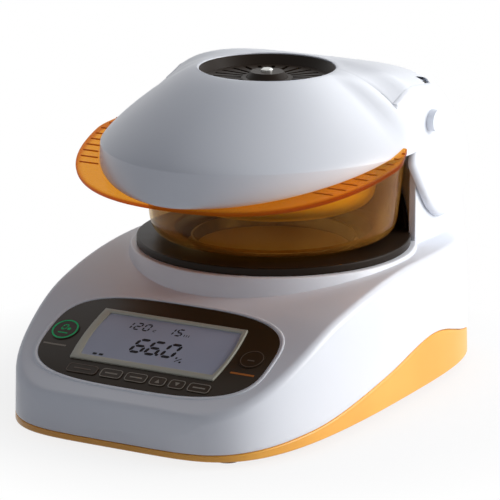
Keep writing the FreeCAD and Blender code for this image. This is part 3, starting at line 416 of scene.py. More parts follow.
def plate(outline, low, high, edge, lay):
    """A flat plate with rounded rims: rings of the outline, drawn in by 1 - sin and lifted by cos round each rim.

    lay turns an outline and a level into points in space. Returns its grid and two end faces.
    """
    turns = np.linspace(0, QUARTER, 5)
    rims = [(turn, low, edge) for turn in turns] + [(turn, high, -edge) for turn in turns[::-1]]
    rings = [lay(inward(outline, edge * (1 - math.sin(turn))), level + lift * (1 - math.cos(turn)))
             for turn, level, lift in rims]
    return grid(rings, round_columns=True), [rings[0], rings[-1][::-1]]


def band(outline_at, section):
    """A closed band: a closed section of (inset, level) pairs carried round an outline that can be drawn in."""
    return grid([outline_at(inset, level) for inset, level in section], True, True)


# the two cases

# Reach to the front and to the rear of the chamber's axis, and the power of the case's outline.
FRONT, REAR, SQUARE = 205.0, 127.5, 5.0
CASE_MIDDLE = (REAR - FRONT) / 2
CASE_REACH = (REAR + FRONT) / 2
# Half width at the foot and at the top, and the share of it that is missing at the front and the rear.
CASE_HALF, TOP_HALF, FRONT_TAPER, REAR_TAPER = 110.0, 106.0, 0.12, 0.04
# The walls lean in by this much for each millimetre up.
DRAFT = 4.0 / 109.5
# Wall, the step of the parting line, how high the upper case's lip reaches, and both faces of the floor.
WALL, STEP, LIP_HEIGHT, FLOOR, FLOOR_TOP = 2.5, 0.5, 6.0, 4.0, 6.5
# Radius of the shoulder at the front, and how much more it is at the rear.
SHOULDER, SHOULDER_GROWTH = 5.0, 13.0


def case_half(back, draft, inset):
    """Half width of the case: full at its middle, less by a square law to both ends."""
    share = (back - CASE_MIDDLE) / (CASE_REACH - inset)
    taper = np.where(share > 0, REAR_TAPER, FRONT_TAPER)
    return (CASE_HALF - draft) * (1 - taper * share * share) - inset


def case_turns(count):
    """Turns round the case, closer together at the corners."""
    turn = full_turn(count)
    return turn - 0.10 * np.sin(4 * turn)


def case_reach(turn):
    """Reach of the unit superellipse |x|^5 + |y|^5 = 1 along a turn."""
    return (np.abs(np.cos(turn)) ** SQUARE + np.abs(np.sin(turn)) ** SQUARE) ** (-1 / SQUARE)


def case_point(turn, share, inset, draft):
    """Out and back on the superellipse |x/a|^5 + |y/b|^5 = share^5, along a turn from its middle."""
    along = (CASE_REACH - inset) * case_reach(turn) * np.sin(turn)
    out = case_half(CASE_MIDDLE + along, draft, inset) * case_reach(turn) * np.cos(turn)
    return out * share, CASE_MIDDLE + along * share


def edge_slope(turn):
    """How fast the superellipse's share grows per millimetre, square to its rim."""
    out, back = np.abs(np.cos(turn)) * case_reach(turn), np.abs(np.sin(turn)) * case_reach(turn)
    return np.hypot(out ** (SQUARE - 1) / TOP_HALF, back ** (SQUARE - 1) / CASE_REACH)


PANEL_SLOPE = math.radians(25.5)
PANEL_BACK, PANEL_HEIGHT = -153.5, 55.4
# Height of the deck at the chamber's axis, and a point of the chin's straight line with its rise.
DECK, CHIN_BACK, CHIN_HEIGHT, CHIN_RISE = 89.5, -210, 4, 3.353


def case_top(back):
    """Height of the case's top: the lowest of the panel's slope, the deck's bow and the chin, softly joined."""
    panel = PANEL_HEIGHT + (back - PANEL_BACK) * math.tan(PANEL_SLOPE)
    deck = DECK + np.where(back < 0, 0.0028 * back - 0.001195 * back * back, -1.5 * back / 106.0)
    chin = CHIN_HEIGHT + (back - CHIN_BACK) * CHIN_RISE
    return soft_min(soft_min(panel, deck, 3.0), chin, 5.0)


SPLIT = np.array([(-215, 8.0), (-153.75, 11.5), (-110.7, 15.0), (-41, 25.75), (25.5, 36.5), (80.3, 25.25),
                  (137.5, 12.0)])


def split_height(back):
    """The wavy line where the two cases part."""
    curve = open_spline(SPLIT, 24)
    return np.interp(back, curve[:, 0], curve[:, 1])


def case_wall_rows(turn, low, high, inset, count):
    """Rows of the side wall between two heights, with its draft."""
    rows = []
    for share in np.linspace(0, 1, count):
        height = low * (1 - share) + high * share
        out, back = case_point(turn, 1.0, inset, DRAFT * height)
        rows.append(row(back, height, out))
    return rows


def upper_case_grid(columns=360):
    """White case: the lip inside its lower edge, then the side wall, rounded shoulder and top."""
    turn = case_turns(columns)
    slope = edge_slope(turn)
    _, edge_back = case_point(turn, 1.0, 0.0, 3.0)
    radius = SHOULDER + SHOULDER_GROWTH * smooth_step(edge_back, 70, 122)
    split = split_height(edge_back)
    wall_top = np.maximum(case_top(edge_back) - radius, split + 1.0)
    rows = case_wall_rows(turn, split + LIP_HEIGHT, split, WALL, 2)
    rows += case_wall_rows(turn, split, split, STEP, 1)
    rows += case_wall_rows(turn, split + 0.6, wall_top, 0.0, 16)
    for angle in np.linspace(0, QUARTER, 9)[1:]:
        depth = radius * (1 - math.cos(angle))
        out, back = case_point(turn, 1 - depth * slope, 0.0, DRAFT * wall_top)
        top = case_top(back) - radius * (1 - math.sin(angle))
        rows.append(row(back, np.maximum(top, wall_top + 0.02 * angle), out))
    start = 1 - radius * slope
    for share in np.concatenate([np.linspace(0.01, 0.12, 10), np.linspace(0.14, 1.0, 64)]):
        out, back = case_point(turn, start * (1 - share), 0.0, DRAFT * wall_top)
        rows.append(row(back, case_top(back), out))
    return grid(rows, round_columns=True)


def lower_case_grid(columns=300):
    """Orange case: floor, rounded foot, wall up to the wavy line, and down again inside."""
    turn = case_turns(columns)
    _, edge_back = case_point(turn, 1.0, 0.0, 0.0)
    split = split_height(edge_back) - 0.4
    rows = []
    for share in np.linspace(0, 1, 8)[:-1]:
        out, back = case_point(turn, share, 2.0, 0.0)
        rows.append(row(back, FLOOR, out))
    for angle in np.linspace(0, QUARTER, 6):
        out, back = case_point(turn, 1.0, 2.0 * (1 - math.sin(angle)), 0.15)
        rows.append(row(back, FLOOR + 1.5 * (1 - math.cos(angle)), out))
    rows += case_wall_rows(turn, FLOOR + 1.5, split - STEP, 0.0, 10)[1:]
    rows += case_wall_rows(turn, split, split, STEP, 1)
    rows += case_wall_rows(turn, split, FLOOR_TOP, WALL, 4)
    out, back = case_point(turn, 0.0, WALL, 0.0)
    rows.append(row(back, FLOOR_TOP, out))
    return grid(rows, round_columns=True)


def panel_to_space(flat, level):
    """Points of the panel's own plane, (out, up the slope), lifted square to it."""
    out, up = flat[..., 0], flat[..., 1]
    back = PANEL_BACK + up * math.cos(PANEL_SLOPE) - level * math.sin(PANEL_SLOPE)
    height = PANEL_HEIGHT + up * math.sin(PANEL_SLOPE) + level * math.cos(PANEL_SLOPE)
    return row(back, height, out)


def oval(half_width, half_depth, power=3.2, columns=160):
    """Superellipse |x/a|^p + |y/b|^p = 1 about the overlay's middle, stepped by its polar angle."""
    turn = full_turn(columns)
    turn -= 0.08 * np.sin(4 * turn)
    reach = (np.abs(np.cos(turn)) ** power + np.abs(np.sin(turn)) ** power) ** (-1 / power)
    return np.stack([half_width * reach * np.cos(turn), OVERLAY_UP + half_depth * reach * np.sin(turn)], axis=1)


def panel_rim_grid():
    """Raised white bead round the overlay: a half-round section carried round the oval."""
    section = [(-0.3 + 1.1 * math.cos(turn), 0.55 * math.sin(turn)) for turn in np.linspace(0, math.pi, 7)]
    section += [(-1.4, -0.5), (0.8, -0.5)]
    return band(lambda inset, level: panel_to_space(oval(82.6 - inset, 42.4 - inset), level), section)


def platform_grid():
    """White round platform under the tray, flared at its foot."""
    return spun(rounded_path([(62.8, 76.0, 0), (62.8, 91.8, 0.6), (95.0, 91.8, 1.2), (96.2, 87.0, 6.0),
                              (98.5, 77.0, 4.0), (99.4, 70.0, 0)]), 200)


# The hinge axis, and how far out the cheeks' inner and outer faces and the ears' outer faces lie.
PIVOT_BACK, PIVOT_HEIGHT = 57.0, 173.0
CHEEK_IN, COLUMN_HALF, EAR_OUT = 77.5, 82.5, 88.0
# Radii of the cheeks' heads, the socket, the hood's barrel in it and the chamber's bowl, and the column's foot.
HEAD_RADIUS, SOCKET_RADIUS, BARREL_RADIUS, BOWL_RADIUS = 21.0, 37.0, 35.0, 92.3
FOOT = 81.5


def around_pivot(radius, degrees):
    """Points (back, height) on a circle about the hinge axis, from the rear at 0 degrees up over the top."""
    turn = np.radians(degrees)
    return np.stack([PIVOT_BACK + radius * np.cos(turn), PIVOT_HEIGHT + radius * np.sin(turn)], axis=-1)


def side_ring(outline, out):
    """A (back, height) outline at one distance out."""
    return row(outline[:, 0], outline[:, 1], np.full(len(outline), out))


def column_grids():
    """The hinge column: a wall with the chamber's bowl in front and a plain curve behind, and two cheeks.

    At each distance out the wall's front is the farthest back of the bowl sqrt(R^2 - x^2), the hinge axis and
    the hinge socket; its rear is a fair curve. Both run up to where they meet. The cheeks end in round heads.
    """
    lower_rear = open_spline([(121, FOOT), (117, 101), (114, 116), (115, 138), (104, 159)], 16)
    rear = np.concatenate([lower_rear, [(84, 176), (57, 197)]])
    heights = np.linspace(FOOT, 176.0, 400)
    rear_at = np.interp(heights, rear[:, 1], rear[:, 0])
    edge = np.linspace(60, CHEEK_IN, 10)
    out = np.concatenate([-edge[:0:-1], np.linspace(-60, 60, 50), edge[1:]])
    bowl = np.sqrt(np.maximum(BOWL_RADIUS ** 2 - out ** 2, 0))[:, None]
    over = np.clip(SOCKET_RADIUS ** 2 - (heights - PIVOT_HEIGHT) ** 2, 0, None)
    socket = np.where(over > 0, PIVOT_BACK + np.sqrt(over), 0)
    front_at = np.maximum(np.maximum(bowl, PIVOT_BACK), socket)
    top_index = np.argmax(rear_at - front_at < 0.8, axis=1)
    steps, rows = np.arange(len(heights)), []
    for share in np.linspace(0, 1, 48):
        place = [np.interp(index, steps, front) for index, front in zip(top_index * share, front_at)]
        rows.append(row(place, np.interp(top_index * share, steps, heights), out))
    for share in np.linspace(1, 0, 48):
        index = top_index * share
        rows.append(row(np.interp(index, steps, rear_at), np.interp(index, steps, heights), out))
    outline = np.concatenate([[(PIVOT_BACK - 11, FOOT), (PIVOT_BACK - 11, 130.0)],
                              around_pivot(HEAD_RADIUS, np.linspace(117.3, 14.2, 26)), [(84, 176)],
                              lower_rear[::-1]])
    cheeks, caps = gathered([plate(outline, CHEEK_IN - 0.1, COLUMN_HALF, 0.8,
                                   lambda flat, level, side=side: side_ring(flat, side * level)) for side in (-1, 1)])
    return [grid(rows)] + cheeks, caps


# the hood

# How far the dome's axis lies in front of the chamber's, and the radius of its innermost ring.
HOOD_FORWARD, VENT = 9.0, 47.0
# Half width, reach to the front and to the rear, and height of the dome, and the power of its rings.
HOOD_HALF, HOOD_FRONT, HOOD_REAR, HOOD_TOP, HOOD_SQUARE = 106.0, 129.0, 96.0, 212.0, 1.85
# Power of the dome's arch on its front slope and at its rear, and the walls of the dome and the hinge block.
FRONT_FULLNESS, REAR_FULLNESS = 1.2, 1.55
DOME_WALL, BLOCK_WALL = 3.0, 2.5
# The skirt grows by its flare from the crease down to the level of its foot at the front.
FLARE, SKIRT_FOOT = 1.5, 137.6
# The hinge block: how far out its middle strip reaches, the rounding into the ears, and where that begins.
STRIP_OUT, ROUNDING = 76.5, 4.0
BLOCK_SIDE = EAR_OUT - ROUNDING
# Where the block's top begins, the vent's edge in it, where the dome's narrow rings stop, and the block's sides.
BLOCK_STEP, VENT_RIM, VENT_STOP, SIDE_STOP = 6.0, 45.4, 24.0, PIVOT_BACK - 1.5


def crease_height(back):
    """The crease between skirt and dome: a straight line that falls 2 mm in 100 to the rear."""
    return 165.3 - 0.02 * back


def visor_height(back):
    """Underside of the visor's slope."""
    return 141.6 + 0.2 * (back + 136.0)


def power_turn(turn, power):
    """Cosine and sine of a turn raised to 2 / power with their signs kept: the unit superellipse."""
    return [np.sign(part) * np.abs(part) ** (2 / power) for part in (np.cos(turn), np.sin(turn))]


def ring_ends(half, rearward):
    """The share of a ring's rear quarter that lies outside the hinge block, as an end turn on the right.

    Wide rings stop beside the block's side, and the narrow ones near the vent at VENT_STOP behind the axis.
    """
    turn = np.linspace(0, QUARTER, 400)
    across, along = power_turn(turn, HOOD_SQUARE)
    inside = (half * across < BLOCK_SIDE) & (rearward * along - HOOD_FORWARD > VENT_STOP)
    return turn[np.argmax(inside)] if inside.any() else QUARTER


def fullness_at(along):
    """Power of the dome's arch, from the front slope's to the rear's by a cubic ease near the axis."""
    return FRONT_FULLNESS + (REAR_FULLNESS - FRONT_FULLNESS) * smooth_step(along, -0.1, 0.25)


def dome_row(angle, inset, columns):
    """One ring of the dome, from the crease at angle 0 to the vent at a right angle.

    Rings are superellipses of power 1.85. Between crease and vent their half axes fall by cos^(2/p) and their
    height rises by sin^(2/p): p is 1.2 on the straight front slope and 1.55 on the fuller rear.
    """
    def widened(reach, power):
        return VENT + (reach - inset - VENT) * max(math.cos(angle), 0.0) ** (2 / power)

    end = ring_ends(widened(HOOD_HALF, REAR_FULLNESS), widened(HOOD_REAR, REAR_FULLNESS))
    across, along = power_turn(front_turns(end, columns), HOOD_SQUARE)
    fullness = fullness_at(along)
    rise = math.sin(angle) ** (2 / fullness)
    back = widened(np.where(along > 0, HOOD_REAR, HOOD_FRONT), fullness) * along - HOOD_FORWARD
    height = crease_height(back) * (1 - rise) + (HOOD_TOP - inset) * rise
    return row(back, height, widened(HOOD_HALF, fullness) * across)


def front_turns(end, columns):
    """Turns from an end turn on the right, round the front, to its mirror on the left."""
    share = np.linspace(0, 1, columns)
    return end - share * (math.pi + 2 * end)


def skirt_row(lift, inset, columns):
    """One ring of the skirt: lift is 0 at its lower edge and 1 at the crease; it flares 1.5 mm downwards."""
    across, along = power_turn(front_turns(ring_ends(HOOD_HALF, HOOD_REAR), columns), HOOD_SQUARE)
    reach = np.where(along > 0, HOOD_REAR, HOOD_FRONT)
    edge_back = reach * along - HOOD_FORWARD
    crease = crease_height(edge_back)
    foot = np.minimum(visor_height(edge_back) + 3.6, crease - 0.5)
    height = foot * (1 - lift) + crease * lift
    grow = FLARE * (crease - height) / (crease - SKIRT_FOOT) - inset
    return row((reach + grow) * along - HOOD_FORWARD, height, (HOOD_HALF + grow) * across)


def dome_grid(columns=280):
    """The dome as a closed wall: up the skirt and the outside, in over the vent's rim, and down inside."""
    rows = [skirt_row(0.0, DOME_WALL, columns), skirt_row(0.0, 0.5, columns)]
    rows += [skirt_row(lift, 0.0, columns) for lift in np.linspace(0.04, 0.97, 10)]
    for angle in np.radians(np.concatenate([[0.0, 0.6, 1.4], np.linspace(2.6, 88, 46)])):
        rows.append(dome_row(angle, 0.0, columns))
    turn = front_turns(ring_ends(46.0, 46.0), columns)
    for radius, height in ((46.2, 212.1), (45.3, 211.9), (45.0, 211.5), (45.0, 209.0), (47.0, 209.0)):
        rows.append(row(radius * np.sin(turn) - HOOD_FORWARD, height, radius * np.cos(turn)))
    for angle in np.radians(np.linspace(84, 0, 16)):
        rows.append(dome_row(angle, DOME_WALL, columns))
    return grid(rows, True)


# The crest of the hinge block at its middle, (back, height).
CREST = ((BLOCK_STEP, 212.0), (15, 212.2), (25, 212.1), (36, 211.7), (50, 209.6))


def dome_height(back, out):
    """Height of the dome's outside at a place behind the vent's axis: its ring is found by halving."""
    low, high = 0.0, 1.0
    along = max(back + HOOD_FORWARD, 0.01)
    for _ in range(24):
        spread = (low + high) / 2
        half, reach = VENT + (HOOD_HALF - VENT) * spread, VENT + (HOOD_REAR - VENT) * spread
        outside = (abs(out) / half) ** HOOD_SQUARE + (along / reach) ** HOOD_SQUARE > 1
        low, high = (spread, high) if outside else (low, spread)
    fullness = float(fullness_at(along / reach))
    rise = (1 - spread ** fullness) ** (1 / fullness)
    return crease_height(back) * (1 - rise) + HOOD_TOP * rise


def block_profile(out, inset):
    """Side view of the hinge block at a distance out: a fair crest, then an arc about the hinge axis.

    Everything lies lower by 14 |x/88|^5 mm and the last 4 mm to each side round over into the ears. At its
    front the crest lies on the dome, and leaves it along a quarter sine.
    """
    past = np.clip(abs(out) - BLOCK_SIDE, 0, ROUNDING)
    fall = 14.0 * abs(out / EAR_OUT) ** 5
    rounded = inset + ROUNDING - math.sqrt(max(ROUNDING ** 2 - past ** 2, 0.0))
    radius = BARREL_RADIUS - fall - rounded
    low = -math.degrees(math.asin((PIVOT_HEIGHT - 164.9) / radius))
    start, end = block_start(out), CREST[-1][0]
    crest = []
    for share in np.linspace(0, 1, 9):
        back = start + (end - start) * share
        height = np.interp(back, *zip(*CREST)) - fall - rounded
        dome = dome_height(back, out) + 0.2 - inset
        crest.append((back, dome + (max(height, dome) - dome) * math.sin(min(share / 0.55, 1.0) * QUARTER)))
    return open_spline(np.concatenate([crest, around_pivot(radius, np.array([64, 45, 25, 5, low]))]), 9)


def block_start(out):
    """Where the block's top begins: a straight step, and the vent's edge where that lies farther back."""
    return max(BLOCK_STEP, math.sqrt(max(VENT_RIM ** 2 - out * out, 0.0)) - HOOD_FORWARD)


def block_grids():
    """Top and rear of the hood in three strips: the middle runs on down the barrel, the sides stop at the slots."""
    edge, right = np.linspace(46.5, STRIP_OUT, 20), np.linspace(STRIP_OUT, EAR_OUT, 16)
    middle = np.concatenate([-edge[:0:-1], 46.5 * np.sin(np.linspace(-QUARTER, QUARTER, 81)), edge[1:]])
    grids = []
    for places, stop in ((middle, 300.0), (right, SIDE_STOP), (-right[::-1], SIDE_STOP)):
        columns = []
        for out in places:
            start = block_start(out)
            outer, inner = (clipped(block_profile(out, inset), start, stop) for inset in (0.0, BLOCK_WALL))
            top = outer[0, 1]
            rim = [(start, top - 9.0), (start, top - 0.9), (start + 0.25, top - 0.25)]
            columns.append(np.concatenate([rim, outer[1:], inner[::-1]]))
        profile = np.array(columns)
        grids.append(grid(row(profile[:, :, 0], profile[:, :, 1], places[:, None]), False, True))
    return grids


def clipped(profile, start, stop, count=60):
    """A profile cut at two distances behind the axis and stepped evenly along its length between them."""
    length = np.concatenate([[0], np.cumsum(np.linalg.norm(np.diff(profile, axis=0), axis=1))])
    crest = int(np.argmax(profile[:, 0]))
    low = np.interp(start, profile[:crest + 1, 0], length[:crest + 1])
    high = np.interp(stop, profile[:crest + 1, 0], length[:crest + 1]) if stop < profile[crest, 0] else length[-1]
    along = np.linspace(low, high, count)
    return np.stack([np.interp(along, length, profile[:, 0]), np.interp(along, length, profile[:, 1])], axis=-1)


def ear_outline():
    """Side view of an ear at its inner face: under the block's crest, over its arc and down round the tip."""
    top = block_profile(BLOCK_SIDE, 0.0)
    front = [(back, np.interp(back, top[:60, 0], top[:60, 1]) - 0.4) for back in (6.3, 15.0, 24.0, 32.0, 40.0)]
    arc = around_pivot(24.2, np.array([82.0, 64.0, 48.0]))
    tip = [(87, 179.8), (100, 167.2), (110, 153.5), (116, 134), (111, 118), (99, 108), (84, 102.5), (72, 104),
           (59.5, 112), (49, 124), (38, 138), (32, 148), (35, 158)]
    return np.concatenate([front, open_spline(np.concatenate([arc, tip]), 8), [(36, 165.3), (6.3, 165.3)]])


def ear_grid(side):
    """An ear: its outline from the inner face to the block's side, then drawn in along a rounding to its outer face."""
    outline = ear_outline()
    rings = [side_ring(inward(outline, 0.3), side * (BLOCK_SIDE - 0.5)), side_ring(outline, side * (BLOCK_SIDE - 0.2))]
    for turn in np.linspace(0, QUARTER, 9):
        rings.append(side_ring(inward(outline, ROUNDING * (1 - math.cos(turn))),
                               side * (BLOCK_SIDE + ROUNDING * math.sin(turn))))
    return grid(rings, round_columns=True), [rings[0], rings[-1][::-1]]


# Half width and reach of the visor's rim, its power, where it ends behind the axis, how fast it draws in there
# and from what half width, and the radius of its inner edge.
VISOR_HALF, VISOR_FRONT, VISOR_SQUARE = 113.9, 127.5, 2.5
VISOR_END, END_SLOPE, END_HALF, VISOR_INNER = -14.0, 0.344, 106.0, 91.2


def visor_limit(back):
    """How far out the visor may reach near its ends: a straight line down to the skirt."""
    return END_HALF + (VISOR_END - back) * END_SLOPE


def visor_grid(columns=240):
    """Amber lip: a wide curved plate on a slope, its rim slanting outwards to the top, with a point at each end.

    The rim is a superellipse of power 2.5; towards the ends it draws in to the skirt. Each ring lies at a share
    of the way from the inner circle to the rim, at a level above the underside, with its mark of edge light.
    """
    across, along = power_turn(np.linspace(math.pi - 0.10, TURN + 0.10, columns), VISOR_SQUARE)
    inner_turn = np.arctan2(along * 127.0, across * 114.0)
    inner_out, inner_back = VISOR_INNER * np.cos(inner_turn), np.minimum(VISOR_INNER * np.sin(inner_turn), VISOR_END)
    rings = [(share, 3.9, 0.0) for share in np.linspace(0, 0.9, 12)]
    rings += [(0.95, 3.9, 0.0), (0.985, 3.8, 0.25), (0.996, 3.45, 0.7), (1.0, 2.9, 1.0), (1.0, 1.0, 1.0),
              (0.996, 0.4, 1.0), (0.985, 0.1, 0.9), (0.95, 0.0, 0.6)]
    rings += [(share, 0.0, 0.4) for share in np.linspace(0.9, 0, 8)]
    rows = []
    for share, level, _ in rings:
        back = np.minimum((VISOR_FRONT + 0.5 * level) * along - HOOD_FORWARD, VISOR_END)
        out = np.sign(across) * soft_min(np.abs(VISOR_HALF * across), visor_limit(back), 3.0)
        out, back = inner_out * (1 - share) + out * share, inner_back * (1 - share) + back * share
        rows.append(row(back, visor_height(back) + level, out))
    points = np.array(rows)
    marks = np.repeat([mark for _, _, mark in rings], columns)
    return grid(points, round_rows=True), marks, [points[:, 0], points[:, -1][::-1]]


# Where the foremost grip rib lies and how far apart they are, and their width.
RIB_BACK, RIB_PITCH, RIB_WIDTH = -92, 8.74, 1.1


def rib_grids(count, height):
    """Grip ribs: bars across the visor from the skirt to 3 mm inside its rim, as many on each side."""
    ribs = []
    for index in range(count):
        back = RIB_BACK + RIB_PITCH * index
        along = abs(back + HOOD_FORWARD)
        skirt = 107.5 * (1 - (along / 130.5) ** HOOD_SQUARE) ** (1 / HOOD_SQUARE)
        rim = VISOR_HALF * (1 - (along / 129.4) ** VISOR_SQUARE) ** (1 / VISOR_SQUARE)
        end = max(min(rim, visor_limit(back)) - 3.0, skirt + 2)
        for side in (-1, 1):
            places = [row(back, visor_height(back) + 3.85, side * out) for out in (skirt, end)]
            ribs.append(bar_grid(*places, RIB_WIDTH, height))
    return ribs


def bar_grid(start, end, width, height):
    """A low bar with a half-round top between two points."""
    along = (end - start) / np.linalg.norm(end - start)
    beside = np.cross(along, (0, 0, 1.0))
    beside /= np.linalg.norm(beside)
    above = np.cross(beside, along)
    turn = full_turn(10)[:, None]
    section = np.cos(turn) * beside * width / 2 + np.sin(turn) * above * height
    rows = [start * (1 - share) + end * share + shrink * section
            for share, shrink in ((0, 0.05), (0.01, 0.6), (0.04, 1.0), (0.96, 1.0), (0.99, 0.6), (1, 0.05))]
    return grid(rows, round_columns=True)


# settings

class AnalyzerSizes(bpy.types.PropertyGroup):
    """Sizes that a user would change."""
    rib_count: bpy.props.IntProperty(name="Grip ribs", description="Ribs on each grip of the visor", default=9)
    rib_height: bpy.props.FloatProperty(name="Rib height", description="Height of a grip rib above the visor",
                                        default=0.0005, unit="LENGTH")


class AnalyzerStage(bpy.types.PropertyGroup):
    """Light and floor."""
    key_power: bpy.props.FloatProperty(name="Key light", description="Power of the large lamp on the right",
                                       default=16.0, unit="POWER")
    fill_level: bpy.props.FloatProperty(name="Fill", description="Level of the plain surrounding light", default=0.2)
    floor_colour: bpy.props.FloatVectorProperty(name="Floor colour", description="Colour of the pale floor",
                                                subtype="COLOR", size=4, default=linear("F4F5F7"))


# operators

class BuildCases(bpy.types.Operator):
    """Upper case with its hinge column and platform, and the lower case"""
    bl_idname = "analyzer.cases"
    bl_label = "Cases"

    def execute(self, context):
        column, ends = column_grids()
        grids = [upper_case_grid(), panel_rim_grid(), platform_grid()] + column
        stand_for(make_piece("upper_case_shell", grids, "white ABS", 50, ends), "base", "white_case", "upper_case")
        lower = make_piece("lower_case_shell", [lower_case_grid()], "orange ABS", 50)
        stand_for(lower, "base", "orange_case", "lower_case")
        return {"FINISHED"}


# Finish, then body, slot and node, columns, steps of each arc, and corners (radius, height, rounding).
SPUN = {
    "tray": ("brown PPS", ("base", "tray_brown", "chamber_tray"), 220, 6,
             [(7, 83.6, 0), (60, 83.6, 2.0), (60, 95.9, 1.0), (63, 97.1, 2.0), (91.4, 97.1, 1.2), (91.4, 91.8, 0.8),
              (62.2, 91.8, 0.5), (62.2, 81.4, 1.5), (7, 81.4, 0.2), (7, 83.6, 0)]),
    "dish": ("sheet aluminium", ("dish", "aluminium_sheet", "sample_dish"), 180, 6,
             [(0, 87.4, 0), (52, 87.4, 3.0), (54, 96.1, 0.3), (55, 96.1, 0.3), (55, 96.9, 0.4), (53.4, 96.9, 0.3),
              (51.4, 88.0, 2.6), (0, 88.0, 0)]),
    "glass_wall": ("glass", ("hood", "clear_glass", "glass_windshield"), 200, 12,
                   [(66, 100.4, 0), (81.5, 100.4, 12.0), (87.5, 155.0, 0.5), (85.1, 155.0, 0.5), (79.6, 102.8, 9.6),
                    (66, 102.8, 0.8), (66, 100.4, 0)]),
    "reflector_bowl": ("gold coat", ("hood", "gold_reflector", "reflector"), 160, 6,
                       [(59, 120, 0), (65.3, 122.7, 3), (68, 129, 3), (68, 166.7, 0.5), (71, 166.7, 0.3),
                        (71, 167.7, 0.3), (0, 167.7, 0), (0, 166.7, 0), (67, 166.7, 3), (67, 129, 3),
                        (64.3, 122.7, 3), (58, 120, 0.3), (59, 120, 0)]),
}


class BuildChamber(bpy.types.Operator):
    """Tray, dish, shield and what hangs over them"""
    bl_idname = "analyzer.chamber"
    bl_label = "Weighing chamber"

    def execute(self, context):
        for name, (finish, place, columns, steps, corners) in SPUN.items():
            stand_for(make_piece(name, [spun(rounded_path(corners, steps), columns)], finish, 40), *place)
        stand_for(make_piece("shield", [shield_grid()], "brown PPS", 40), "base", "tray_brown", "rear_shield")
        return {"FINISHED"}


def shield_grid():
    """A bent plate behind the glass: two radii of one arc, its top edge a plain arch with rounded corners."""
    radius, foot = 91.0, 97.1
    out, top = open_spline([(-73, foot), (-62.8, 117.1), (-45.3, 133.1), (0, 137.1), (45.3, 133.1), (62.8, 117.1),
                            (73, foot)], 12).T
    rows = []
    for ring, lift in ((91.0, 0.0), (91.0, 0.5), (91.0, 0.96), (90.6, 1.0), (89.2, 1.0), (88.8, 0.96), (88.8, 0.5),
                       (88.8, 0.0)):
        across = out * ring / radius
        rows.append(row(np.sqrt(np.maximum(ring ** 2 - across ** 2, 0)), foot + (top - foot) * lift, across))
    return grid(rows, round_rows=True)


class BuildHood(bpy.types.Operator):
    """Dome, hinge block, ears and visor"""
    bl_idname = "analyzer.hood"
    bl_label = "Hood"

    def execute(self, context):
        sizes = context.scene.analyzer_sizes
        ears, ends = gathered([ear_grid(side) for side in (-1, 1)])
        shell = make_piece("hood_cover", [dome_grid()] + block_grids() + ears, "white ABS", 40, ends)
        stand_for(shell, "hood", "white_case", "hood_shell")
        lip, marks, ends = visor_grid()
        ribs = rib_grids(sizes.rib_count, sizes.rib_height / MM)
        marks = np.concatenate([marks, np.ones(sum(len(points) for points, _ in ribs)),
                                np.full(sum(len(points) for points in ends), 0.5)])
        visor = make_piece("visor_lip", [lip] + ribs, "amber", 50, ends, marks)
        stand_for(visor, "hood", "amber_visor", "visor")
        return {"FINISHED"}


# How far up the slope the display's, the overlay's and the key row's middles lie.
DISPLAY_UP, OVERLAY_UP, ROW_UP = 4.9, 3.2, -28.0
# Level of the marks on the keys above the panel's plane, how deep a print is sunk, and the width of a line.
KEY_LEVEL, PRINT_DEPTH, LINE = 0.85, 0.1, 0.55


def bowed(left, right, low, high, bow=2.0):
    """A rectangle round the display's middle whose two short sides swell by a shallow arc."""
    turn = np.linspace(-1, 1, 13)
    swell = bow * (1 - turn * turn)
    middle, half = (low + high) / 2, (high - low) / 2
    right_side = np.stack([right + swell, middle + half * turn], axis=1)
    left_side = np.stack([left - swell, middle - half * turn], axis=1)
    return np.concatenate([right_side, left_side]) + (0, DISPLAY_UP)


def rounded_rectangle(width, depth, corner, out, up):
    """Four quarter circles joined by the straight sides."""
    corners = []
    for index, (right, rear) in enumerate(((1, 1), (-1, 1), (-1, -1), (1, -1))):
        centre = np.array([right * (width / 2 - corner) + out, rear * (depth / 2 - corner) + up])
        angle = np.linspace(0, QUARTER, 6) + index * QUARTER
        corners.append(centre + corner * np.stack([np.cos(angle), np.sin(angle)], axis=1))
    return np.concatenate(corners)


def circle(radius, out):
    """A circle about a round key's middle."""
    turn = full_turn(64)
    return np.stack([out + radius * np.cos(turn), DISPLAY_UP + radius * np.sin(turn)], axis=1)


def printed(outline, level, depth=PRINT_DEPTH):
    """A printed mark: its outline carried up to a level from under the surface, with both end faces."""
    low, high = panel_to_space(outline, level - depth), panel_to_space(outline, level)
    return grid([low, high], round_columns=True), [low, high[::-1]]


def printed_line(outer, inner):
    """A printed closed line between two outlines with as many points, on the keys' level."""
    low = KEY_LEVEL - PRINT_DEPTH
    return band(panel_to_space, ((outer, low), (outer, KEY_LEVEL), (inner, KEY_LEVEL), (inner, low)))


STROKES = {"a": ((0, 1), (1, 1)), "b": ((1, 1), (1, 0.5)), "c": ((1, 0.5), (1, 0)), "d": ((0, 0), (1, 0)),
           "e": ((0, 0.5), (0, 0)), "f": ((0, 1), (0, 0.5)), "g": ((0, 0.5), (1, 0.5))}
LEAN = 0.22
FIGURES = {"0": "abcdef", "1": "bc", "2": "abged", "5": "afgcd", "6": "afgedc", "c": "ged"}


